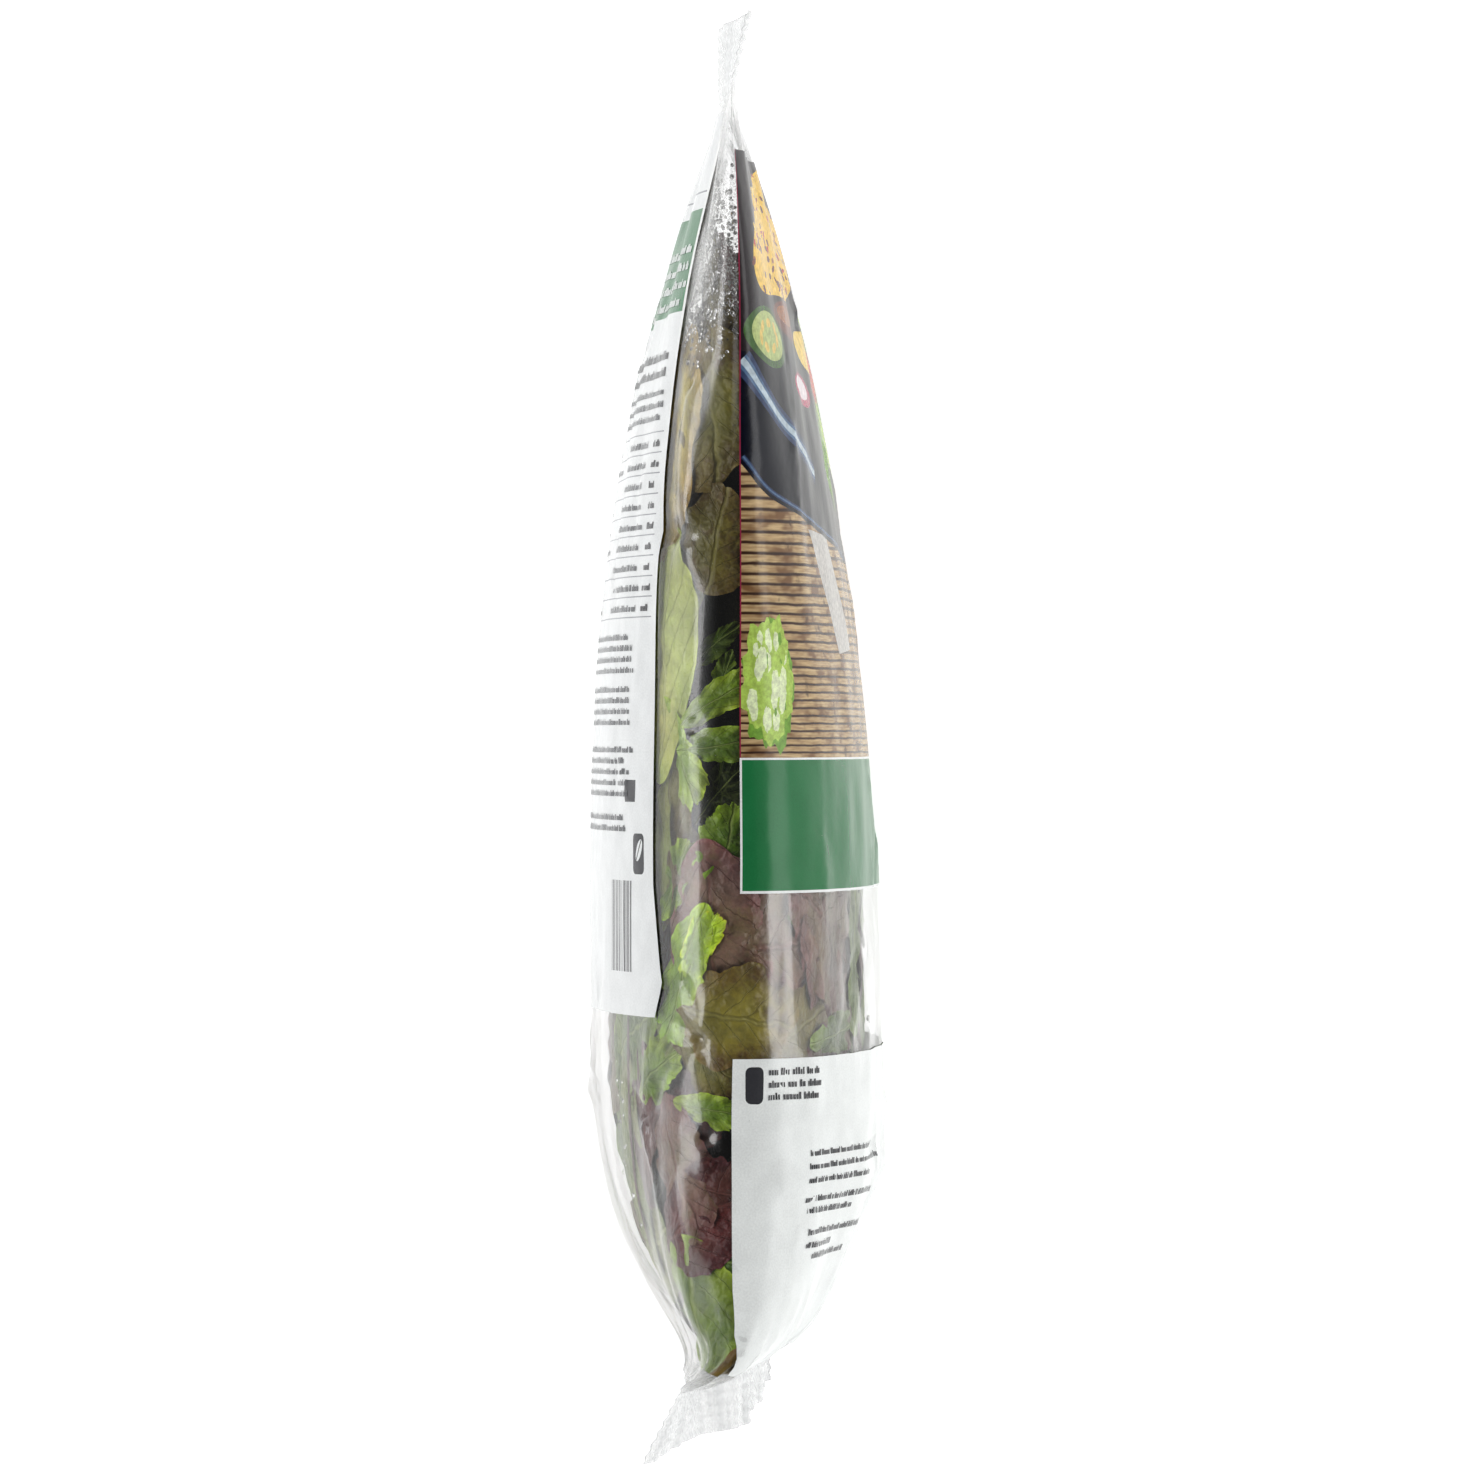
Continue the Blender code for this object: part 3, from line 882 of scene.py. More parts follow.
def plate_and_slices():
    """The board, the napkin, the plate with its bright rim, and the slices and the fritter on it."""
    rim = rounded_path(PLATE_FRONT)
    gleam = rounded_path(GLEAM)
    motifs = [
        ("board", box_outline(-3.9, 52.0, 0.5, 186.0)),
        ("napkin", [(39.5, 27.0), (38.5, 44.0), (17.0, 60.0), (16.0, 44.0)]),
        ("navy", rounded_path(PLATE_FRONT + PLATE_REST)),
        ("navy_light", stroke([(x + 1.1, s + 0.6) for x, s in rim], 0.9)),
        ("navy_mid", stroke([(x + 1.1, s + 0.6) for x, s in rim], 0.35)),
        ("navy_light", stroke(gleam, 4.6)),
        ("navy_mid", stroke(gleam, 2.6)),
        ("pale_blue", stroke(gleam, 1.3)),
        ("rind", oval(75.0, 12.8, 5.6, 11.6, 0.10, 40)),
        ("cucumber", oval(75.2, 12.8, 4.5, 9.4, 0.10, 36)),
        ("nut", oval(79.0, 33.0, 3.6, 13.0, 0.06, 30, 0.04, 3)),
        ("nut_light", oval(79.8, 31.0, 1.8, 8.0, 0.06, 24)),
        ("flesh", oval(74.0, 62.0, 4.4, 13.0, 0.1, 30, 0.05, 5)),
        ("radish", oval(66.5, 42.0, 3.2, 11.0, 0.08, 30)),
        ("radish_flesh", oval(66.9, 41.0, 2.2, 8.4, 0.08, 26)),
        ("lemon", rounded_path(FRITTER)),
    ]
    for k in range(7):
        angle = 2.0 * math.pi * k / 7.0
        place = (75.2 + 2.4 * math.cos(angle), 12.8 + 5.4 * math.sin(angle))
        motifs.append(("seed", oval(*place, 0.9, 1.5, angle, 10)))
    return motifs


print(len(plate_and_slices()), "motifs that lie whole")

# %% [markdown]
# Small things are scattered by a seeded generator: brown, red and pale specks on the fritter, and frilled
# leaves in the middle of the plate. Three tomatoes have set places, and so has the sprig on the board beside
# the edge. A green band and thin white borders close the picture.

# %% Small things in the picture


def crumbs_and_leaves(rng):
    """The specks on the fritter, the salad in the middle of the plate and the sprig on the board."""
    motifs = []
    specks = rng.uniform((82.0, 5.0), (108.0, 66.0), (210, 2))
    for k in is_inside(specks, FRITTER):
        ink = ("nut", "tomato", "nut_light", "nut", "flesh")[k % 5]
        size = (rng.uniform(0.25, 0.8), rng.uniform(0.6, 1.6))
        motifs.append((ink, oval(*specks[k], *size, rng.uniform(-0.6, 0.6), 7)))
    greens = ("lettuce", "lettuce_dark", "lettuce_light")
    for k in range(26):
        place = (66.0 + rng.uniform(-16.0, 17.0), 106.0 + rng.uniform(-36.0, 44.0))
        size = (rng.uniform(6.0, 12.0), rng.uniform(5.0, 9.0))
        motifs.append((greens[k % 3], frilled(rng, *place, *size, 40)))
    for x, s in ((72.0, 84.0), (57.0, 104.0), (76.0, 126.0)):
        motifs.append(("tomato", oval(x, s, 6.5, 6.0, 0.0, 28)))
        motifs.append(("tomato_light", oval(x, s, 5.2, 4.7, 0.0, 24)))
        for k in range(3):
            angle = 2.1 * k + 0.4
            place = (x + 2.6 * math.cos(angle), s + 2.3 * math.sin(angle))
            motifs.append(("tomato", oval(*place, 1.6, 1.1, angle, 12)))
    motifs.append(("lettuce_dark", frilled(rng, 9.6, 7.4, 12.0, 6.2)))
    motifs.append(("lettuce", frilled(rng, 11.0, 7.0, 11.6, 6.3)))
    for k in range(34):
        place = (11.0 + 8.6 * rng.uniform(-1.0, 1.0), 7.0 + 4.2 * rng.uniform(-1.0, 1.0))
        ink = ("lettuce_light", "lettuce", "lettuce_light", "lettuce_dark", "lettuce_light")[k % 5]
        size = rng.uniform(0.5, 1.0) * (0.6 if ink == "lettuce_dark" else 1.0)
        motifs.append((ink, frilled(rng, *place, 2.6 * size, 1.1 * size, 24)))
    return motifs


band_and_borders = [
    ("edge", box_outline(-3.9, 109.0, 0.5, 0.74)),
    ("white", box_outline(-4.3, -3.9, 0.5, 186.0)),
    ("green", box_outline(-29.0, -4.3, 0.9, 186.0)),
    ("white", box_outline(-29.5, -29.0, 0.5, 186.0)),
    ("white", box_outline(-29.0, -4.3, 0.5, 0.9)),
]
rng = np.random.default_rng(11)
picture_motifs = plate_and_slices() + crumbs_and_leaves(rng) + band_and_borders
front_picture = lay_panel(("slate", box_outline(-29.5, 109.0, 0.5, 186.0)), picture_motifs)

# %% [markdown]
# Below the clear window the front also has a white label with a few lines of bold type. Its outline runs
# along the edge that shows, and a little over it low down.

# %% Label on the front
label_motifs = [("bold_type", rounded(-69.2, -62.2, 1.4, 5.0, 1.1))]
for k in range(3):
    greek(rng, -63.8 - 2.35 * k, 6.2, 21.0 + 1.5 * (k % 2), 1.35, "bold_type")
for x, s_from, s_to in ((-79.5, 17.5, 60.0), (-82.0, 17.2, 66.0), (-84.6, 17.0, 52.0), (-88.2, 16.6, 63.0),
                        (-90.4, 16.8, 44.0), (-94.4, 18.0, 60.0), (-96.8, 18.2, 38.0), (-98.9, 22.0, 50.0)):
    greek(rng, x, s_from, s_to, 1.15, "bold_type")
label_outline = [(-119.0, 3.2), (-116.0, 0.6), (-112.0, -0.9), (-104.0, -1.4), (-60.7, -0.8),
                 (-60.7, 186.0), (-119.0, 186.0)]
front_label = lay_panel(("label", label_outline), label_motifs)

# %% [markdown]
# The back is where such a bag says what is in it: a title block, rows of small type, a ruled table, a mark
# for storage and a block of bars. Here each is only its shape and its rhythm. The panel ends about 20 mm
# short of the edge that shows.

# %% Back panel
BACK_EDGE = -21.5        # s of the panel's edge, in mm
BAR = 0.28               # the thinnest bar of the code, in mm


def table_motifs(rng, x_top, rows, pitch, s_left, s_right):
    """A ruled table of greeked rows with a number column beside the edge."""
    motifs = []
    for k in range(rows + 1):
        x = x_top - pitch * k
        motifs.append(("line", box_outline(x - 0.12, x + 0.12, s_left, s_right)))
    for k in range(rows):
        x = x_top - pitch * (k + 0.72)
        greek(rng, x, s_left + 1.5, s_left + rng.uniform(40.0, 90.0), 1.15)
        greek(rng, x, s_right - 34.0, s_right - rng.uniform(8.5, 12.5), 1.25)
        greek(rng, x, s_right - 6.0, s_right - rng.uniform(0.8, 1.6), 1.3, "bold_type")
    return motifs


def back_motifs(rng):
    """Title block, rows of small type, a table, a mark for storage and a block of bars."""
    # Painted highlight: the whiter wedge along the panel's edge stands for the film's sheen along a fold.
    wedge = [(28.0, BACK_EDGE), (118.0, BACK_EDGE - 2.4), (118.0, BACK_EDGE), (28.0, BACK_EDGE + 0.01)]
    motifs = [("line", box_outline(102.6, 102.95, -168.0, BACK_EDGE)),
              ("green", box_outline(80.3, 99.5, -168.0, BACK_EDGE)),
              ("fold_highlight", wedge)]
    for k in range(4):
        greek(rng, 91.4 - 3.3 * k, -120.0, BACK_EDGE - 1.5 - 1.2 * (k % 2), 1.6, "white")
    for x, height in ((71.6, 1.7), (68.4, 1.7)):
        greek(rng, x, -140.0, -25.5 - rng.uniform(0, 3), height, "bold_type")
    for k in range(3):
        greek(rng, 65.0 - 2.4 * k, -160.0, -25.0 - rng.uniform(0, 3), 1.2)
    motifs += table_motifs(rng, 58.0, 9, 3.9, -160.0, -24.5)
    for start, rows in ((18.6, 4), (8.6, 4), (-3.0, 5), (-16.0, 2)):
        for k in range(rows):
            greek(rng, start - 2.1 * k, -160.0, -31.5 - rng.uniform(0.0, 6.0), 1.15)
    motifs += [("bold_type", box_outline(-12.4, -8.2, -36.2, -30.4)),
               ("bold_type", rounded(-26.2, -18.4, -31.2, -25.6, 1.2)),
               ("paper", oval(-21.6, -28.0, 2.4, 1.2, 0.6, 20)),
               ("bold_type", stroke([(-24.6, -30.2), (-19.6, -26.8)], 0.35))]
    s = -46.0
    while s < -33.0:
        width = BAR * rng.integers(1, 4)
        motifs.append(("bold_type", box_outline(-45.0, -27.5, s, s + width)))
        s += width + BAR * rng.integers(1, 4)
    return motifs


back_outline = [(-53.3, -168.0), (118.0, -168.0), (118.0, BACK_EDGE), (-28.0, BACK_EDGE), (-46.5, -18.4),
                (-53.3, -20.6)]
back_panel = lay_panel(("paper", back_outline), back_motifs(rng))
print("type blocks:", len(type_blocks))

# %% [markdown]
# Printed polypropylene is a little duller than the clear film, so its reflections are broad. The inks get a
# faint unevenness, stronger in the picture, whose food is mottled. It comes from the flat coordinates, so it
# bends with the bag.

# %% Ink
INK_ROUGHNESS = 0.22
BOARD_FOOT = -3.9        # where the picture ends at the green band


def finish_ink(tree, output, colour):
    """The printed film's own sheen and its slight ripple."""
    ripple = noise(tree, add(tree, "TexCoord").outputs["Object"], 150.0, 2.0)
    bump = add(tree, "Bump", {"Height": ripple, "Strength": 0.15, "Distance": 0.0008}).outputs[0]
    values = {"Base Color": colour, "Roughness": INK_ROUGHNESS, "Specular IOR Level": 0.15, "Normal": bump}
    shader = add(tree, "BsdfPrincipled", values)
    tree.links.new(shader.outputs[0], output.inputs[0])


def ink_material():
    """The ink that each face carries, clouded, grained, and mottled where the picture is."""
    material, tree, output = new_tree("printed_film")
    place = add(tree, "UVMap", uv_map="flat").outputs[0]
    ink = add(tree, "Attribute", attribute_name="tint").outputs["Color"]
    cloudy = between(tree, noise(tree, place, 0.16, 4.0), 0.3, 0.7, 0.95, 1.03)
    grain = between(tree, noise(tree, place, 2.6, 2.0), 0.25, 0.75, 0.94, 1.05)
    parts = add(tree, "SeparateXYZ", {0: place})
    in_picture = calc(tree, "MULTIPLY", between(tree, parts.outputs[0], BOARD_FOOT, BOARD_FOOT + 0.3),
                      between(tree, parts.outputs[1], 0.6, 1.2))
    mottled = between(tree, noise(tree, place, 0.8, 4.0, 0.7), 0.3, 0.7, 0.74, 1.22)
    mottled = calc(tree, "SUBTRACT", mottled, 1.0)
    uneven = calc(tree, "ADD", calc(tree, "MULTIPLY", mottled, in_picture), 1.0)
    level = calc(tree, "MULTIPLY", calc(tree, "MULTIPLY", cloudy, grain), uneven)
    shade = add(tree, "CombineColor", {0: level, 1: level, 2: level}).outputs[0]
    finish_ink(tree, output, blend(tree, 1.0, ink, shade, "MULTIPLY"))
    return material


ink_plain = ink_material()
print(ink_plain.name, "-", len(ink_plain.node_tree.nodes), "nodes")

# %% [markdown]
# The board is made of slats that run along `s`, with dark grooves between them. They widen away from the
# green band, the way perspective widens them in a picture, so the grooves are counted by a logarithm. Long
# grain, blotches and a little char make the wood uneven.

# %% Board
SLAT_PITCH, SLAT_NARROWING = 1.30, 0.0175     # at the green band in mm, and how much wider per mm above it
WOOD = (screen_colour(164, 132, 92), screen_colour(206, 178, 132))
BLOTCH, CHAR, GROOVE = screen_colour(124, 90, 58), screen_colour(58, 42, 34), screen_colour(58, 38, 28)


def board_material():
    """Slats of wood that narrow towards the green band."""
    material, tree, output = new_tree("printed_board")
    place = add(tree, "UVMap", uv_map="flat").outputs[0]
    parts = add(tree, "SeparateXYZ", {0: place})
    drift = calc(tree, "MULTIPLY", noise(tree, place, 0.09, 3.0), 0.7)
    above = calc(tree, "ADD", calc(tree, "SUBTRACT", parts.outputs[0], BOARD_FOOT), drift)
    pitch = calc(tree, "ADD", calc(tree, "MULTIPLY", above, SLAT_NARROWING / SLAT_PITCH), 1.0)
    turns = calc(tree, "DIVIDE", calc(tree, "LOGARITHM", pitch, math.e), SLAT_NARROWING)
    along_slat = calc(tree, "FRACT", turns)
    groove = calc(tree, "ABSOLUTE", calc(tree, "SUBTRACT", along_slat, 0.5))
    stretched = add(tree, "Mapping", {"Vector": place, "Scale": (2.4, 0.16, 1.0)}).outputs[0]
    grain = noise(tree, stretched, 1.0, 3.0, 0.55)
    broad = add(tree, "Mapping", {"Vector": place, "Scale": (0.30, 0.12, 1.0)}).outputs[0]
    blotch = noise(tree, broad, 1.0, 2.0)
    light = blend(tree, between(tree, grain, 0.3, 0.7), *WOOD)
    toned = blend(tree, between(tree, blotch, 0.45, 0.68), light, BLOTCH)
    char = between(tree, noise(tree, place, 0.16, 3.0, 0.6), 0.60, 0.70, 0.0, 0.7)
    worn = blend(tree, char, toned, CHAR)
    dark = blend(tree, between(tree, groove, 0.27, 0.43), worn, GROOVE)
    finish_ink(tree, output, dark)
    return material


ink_board = board_material()
print(ink_board.name, "-", len(ink_board.node_tree.nodes), "nodes")

# %% [markdown]
# Now the panels go onto the film, a little above it, so that the film's creases don't come through the ink.
# Small type lies a hair higher still. The triangles of the board become a piece of their own, because they
# have another finish.

# %% Laying the print
TYPE_LIFT = 1.3 * INK_LIFT


def print_pieces(name, sheet, lift):
    """Lays a drawn panel on the film. The board's triangles become a piece of their own."""
    places, triangles, inks = sheet
    made = []
    for part, material, wanted in (("", ink_plain, lambda ink: ink != "board"),
                                   ("_board", ink_board, lambda ink: ink == "board")):
        chosen = [(t, ink) for t, ink in zip(triangles, inks) if wanted(ink)]
        if not chosen:
            continue
        used = sorted({v for t, _ in chosen for v in t})
        number = {v: k for k, v in enumerate(used)}
        faces = [[number[v] for v in t][::-1] for t, _ in chosen]
        points = on_film(places[used, 0] * MM, places[used, 1] * MM, np.full(len(used), lift))
        piece = make_piece(name + part, points, faces, material, places[used])
        colours = piece.data.color_attributes.new("tint", "FLOAT_COLOR", "CORNER")
        rgba = np.array([INKS[ink] + (1.0,) for _, ink in chosen])
        rgba = rgba.repeat(len(chosen[0][0]), axis=0)
        colours.data.foreach_set("color", rgba.ravel())
        made.append(piece)
    return made


type_points = np.array([corner for _, outline in type_blocks for corner in outline])
type_faces = np.arange(len(type_points)).reshape(-1, 4).tolist()
type_inks = [ink for ink, _ in type_blocks]
small_type = (type_points, type_faces, type_inks)
prints = []
for name, sheet, lift in (("front_picture", front_picture, INK_LIFT), ("front_label", front_label, INK_LIFT),
                          ("back_panel", back_panel, INK_LIFT), ("small_type", small_type, TYPE_LIFT)):
    prints += print_pieces(name, sheet, lift)

# %% [markdown]
# ## The leaves
# A salad bag is a heap of single leaves pressed flat against the film, edges over edges. Each leaf is a
# small sheet: rings of points round its middle, out to a rim with lobes and frills. It is folded along its
# rib, ruffled towards the rim and puckered all over. It is laid out in flat coordinates like the
# print, then bent under the film: what would stand out of the bag is pressed flat, and the rest dips into
# the dark. The kinds differ only in their values, and one heap for each kind collects its leaves.

# %% Kinds of leaf
# edge brightens each leaf's outermost ring: a painted highlight where the curled rim catches the light.
KINDS = {
    "green_frill": {"body": screen_colour(94, 124, 20), "rim": screen_colour(140, 168, 38), "edge": 1.35,
                    "frills": 17, "frill": 0.10, "lobes": 4, "lobe": 0.08, "ruffle": 2.0, "pucker": 0.60},
    "pale_leaf": {"body": screen_colour(178, 184, 104), "rim": screen_colour(150, 162, 70), "edge": 1.25,
                  "frills": 12, "frill": 0.05, "lobes": 3, "lobe": 0.06, "ruffle": 1.3, "pucker": 0.45},
    "olive_oak": {"body": screen_colour(122, 114, 44), "rim": screen_colour(108, 92, 40), "edge": 1.30,
                  "frills": 10, "frill": 0.05, "lobes": 6, "lobe": 0.12, "ruffle": 1.3, "pucker": 0.60},
    "brown_lollo": {"body": screen_colour(112, 88, 72), "rim": screen_colour(104, 66, 62), "edge": 1.25,
                    "frills": 19, "frill": 0.06, "lobes": 5, "lobe": 0.07, "ruffle": 1.7, "pucker": 0.70},
    "burgundy": {"body": screen_colour(98, 38, 38), "rim": screen_colour(80, 26, 32), "edge": 1.35,
                 "frills": 13, "frill": 0.06, "lobes": 4, "lobe": 0.08, "ruffle": 1.5, "pucker": 0.60},
}
heaps = {kind: {"points": [], "flat": [], "tint": [], "faces": [], "count": 0} for kind in KINDS}
print(len(KINDS), "kinds of leaf")

# %% [markdown]
# Three helpers first. A leaf's faces join rings of points round its middle. The hills of a rumpled leaf are
# a few crossing waves. The waves round its rim drift, since even frills would look like a cog wheel.

# %% Discs, rumples and rims


def disc_faces(rings, columns):
    """Faces of a middle point and rings round it, stored ring by ring after the middle."""
    faces = [(0, 1 + (j + 1) % columns, 1 + j, 0) for j in range(columns)]
    for i in range(rings - 1):
        a, b = 1 + i * columns, 1 + (i + 1) * columns
        faces += [(a + j, a + (j + 1) % columns, b + (j + 1) % columns, b + j) for j in range(columns)]
    return np.array(faces)


def rumple(rng, p, q, wavelength, waves=7):
    """Gentle random hills between about -1 and 1, from a few crossing waves."""
    height = 0.0
    for _ in range(waves):
        angle, phase = rng.uniform(0.0, 2.0 * math.pi, 2)
        stretch = 2.0 * math.pi / (wavelength * rng.uniform(0.7, 1.5))
        height = height + np.sin((p * math.cos(angle) + q * math.sin(angle)) * stretch + phase)
    return height / math.sqrt(2.0 * waves)


def round_rim(rng, angle, waves, drift=0.25):
    """Waves round a rim that drift, so that no two are alike: 1 at their tops and 0 in sharp notches."""
    drifted = angle + drift * np.sin(3.0 * angle + rng.uniform(0, 6)) + 0.4 * drift * np.sin(7.0 * angle)
    return np.abs(np.sin(0.5 * waves * drifted + rng.uniform(0, 6)))


print("faces of a small disc:", len(disc_faces(6, 60)))

# %% [markdown]
# A leaf sheet is worked out flat. Its rim is an oval with lobes and frills that fade out near the stem. Its
# lift is made of ruffles that grow towards the rim, small puckers, a broad wave, a fold along the middle,
# and the rib, which stands out most near the stem.

# %% One leaf, flat


def leaf_sheet(rng, kind, length, width, rings, columns):
    """A flat leaf: points along and across it in mm, its share of the way out to the rim, and its lift."""
    k = KINDS[kind]
    share = np.linspace(0.0, 1.0, rings + 1)[1:, None] ** 0.75
    angle = np.linspace(0.0, 2.0 * math.pi, columns + 1)[None, :-1]
    near_stem = ease((-np.cos(angle) - 0.55) / 0.4)
    frills = round_rim(rng, angle, k["frills"]) + 0.5 * round_rim(rng, angle, 2 * k["frills"] + 1)
    lobes = np.sin(k["lobes"] * angle + rng.uniform(0.0, 6.0))
    lobes = lobes + 0.6 * np.sin(3.0 * angle + rng.uniform(0.0, 6.0))
    rim = 1.0 + (k["lobe"] * lobes + k["frill"] * (frills - 1.3)) * (1.0 - near_stem)
    reach = share * (1.0 + (rim - 1.0) * share ** 1.5)
    along = 0.5 * length * np.cos(angle) * reach
    across = 0.5 * width * np.sin(angle) * (1.0 + 0.22 * np.cos(angle)) * reach
    wave = np.sin(angle * round(k["frills"] * 0.6) + 1.2 * np.sin(2.0 * angle + rng.uniform(0, 6)))
    lift = k["ruffle"] * share ** 2.5 * (0.65 * wave + 0.55 * np.sin(angle * 3.0 + rng.uniform(0, 6)))
    lift = lift * (1.0 - 0.8 * near_stem) + k["pucker"] * rumple(rng, along, across, 7.0)
    lift = lift + 0.8 * rumple(rng, along, across, 17.0)
    fold = rng.uniform(-1.6, 1.2) * np.abs(across) / (0.5 * width)
    lift = lift + fold * np.clip(0.5 + along / length, 0.0, 1.0)
    taper = np.clip(0.5 - along / length, 0.0, 1.0)
    lift = lift + 0.8 * taper * np.exp(-(across / (0.6 + 0.8 * taper)) ** 2)

    def with_middle(values):
        """The values of the rings in one row, with their middle point first."""
        return np.concatenate([[values[0].mean()], values.ravel()])

    share = np.broadcast_to(share, along.shape)
    return [with_middle(v) for v in (along, across, share, lift)]


tried = leaf_sheet(np.random.default_rng(1), "green_frill", 30.0, 20.0, 6, 60)
print("a leaf of 30 by 20 mm stands", round(float(np.ptp(tried[3])), 1), "mm high before it is pressed")

# %% [markdown]
# The colour of a leaf goes from its body to its rim, ends in a thin painted highlight where its curled edge
# catches the light, and drifts over its surface.
# Leaves that lie deeper are darker: little light comes down between the ones above them. A limit just under
# the film keeps every leaf inside. A soft maximum, log(1 + exp), presses a leaf against it without a hard
# bend.

# %% Laying a leaf
LEAVES_TOP, LEAVES_BOTTOM = 94.0, -119.0     # no leaf reaches beyond these, in mm
FINE, COARSE = (11, 150), (6, 60)           # rings and columns of a leaf: listed one by one, and scattered
LIFT_SHARE = {FINE: 0.75, COARSE: 0.45}     # flatter leaves cross each other less
PRESSED_DEPTH, SIDE_DEPTH = 1.1, 1.6     # the limit in mm, and what low sides with deep creases add to it
LAYERS, LAYER = 8, 0.09  # scattered leaves are pressed to one of eight limits, this far apart in mm
DEPTH_SHADE = 0.13       # how much darker a leaf gets for each mm of depth
SHADE_FROM = 1.6         # the depth in mm where that begins
SIDE_SHADE = 0.42        # and how much darker it is where the film slants away from the light


def lay_leaf(rng, kind, x, s, turn, length, width, depth, shade, warm, tip, roll, detail=FINE):
    """Puts a leaf under the film, all in mm and degrees. tip and roll sink its end or its side."""
    along, across, share, lift = leaf_sheet(rng, kind, length, width, *detail)
    c, d = math.cos(math.radians(turn)), math.sin(math.radians(turn))
    flat_x, flat_s = x + along * c - across * d, s + along * d + across * c
    flat_x = np.clip(flat_x, LEAVES_BOTTOM, LEAVES_TOP)
    down = depth - lift * LIFT_SHARE[detail] + tip * (along / length + 0.5) + roll * (across / width + 0.5)
    from_edge = np.abs(wrapped(flat_s * MM) / MM)
    limit = PRESSED_DEPTH + SIDE_DEPTH * ease((from_edge - 24.0) / 22.0) * ease((20.0 - flat_x) / 40.0)
    if detail == COARSE:
        already = sum(len(heap["points"]) for heap in heaps.values())
        limit = limit + LAYER * (already % LAYERS)
    down = limit + np.log1p(np.exp((down - limit) * 2.0)) / 2.0 - 0.3
    points = in_bag(flat_x * MM, flat_s * MM, down * MM)
    k = KINDS[kind]
    body, rim = np.array(k["body"]), np.array(k["rim"])
    out = ease((share - 0.35) / 0.65)[:, None]
    # shade is partly the leaf's own lightness and partly painted light and shade.
    tone = shade * (1.0 + 0.14 * rumple(rng, along, across, 15.0) + 0.09 * rumple(rng, along, across, 5.0))
    tone = tone * np.exp(-DEPTH_SHADE * np.clip(down - SHADE_FROM, 0.0, 6.0))
    # Painted highlight: the outermost ring is brightened by the kind's edge.
    tone = tone * np.where(share > 0.99, k["edge"], 1.0)
    tone = tone * (1.0 - SIDE_SHADE * ease((from_edge - 17.0) / 16.0))
    drift = 0.10 * rumple(rng, along, across, 20.0) + warm
    hue = np.stack([1.0 + drift, np.ones_like(drift), 1.0 - 0.6 * drift], axis=1)
    tint = (body * (1.0 - out) + rim * out) * tone[:, None] * hue
    heap = heaps[kind]
    heap["points"].append(points)
    heap["flat"].append(np.stack([along / length + 0.5, across / width + 0.5], axis=1))
    heap["tint"].append(np.clip(tint, 0.0, 1.0))
    heap["faces"].append(disc_faces(*detail) + heap["count"])
    heap["count"] += len(points)


print("points of a leaf:", FINE[0] * FINE[1] + 1, "by hand,", COARSE[0] * COARSE[1] + 1, "scattered")
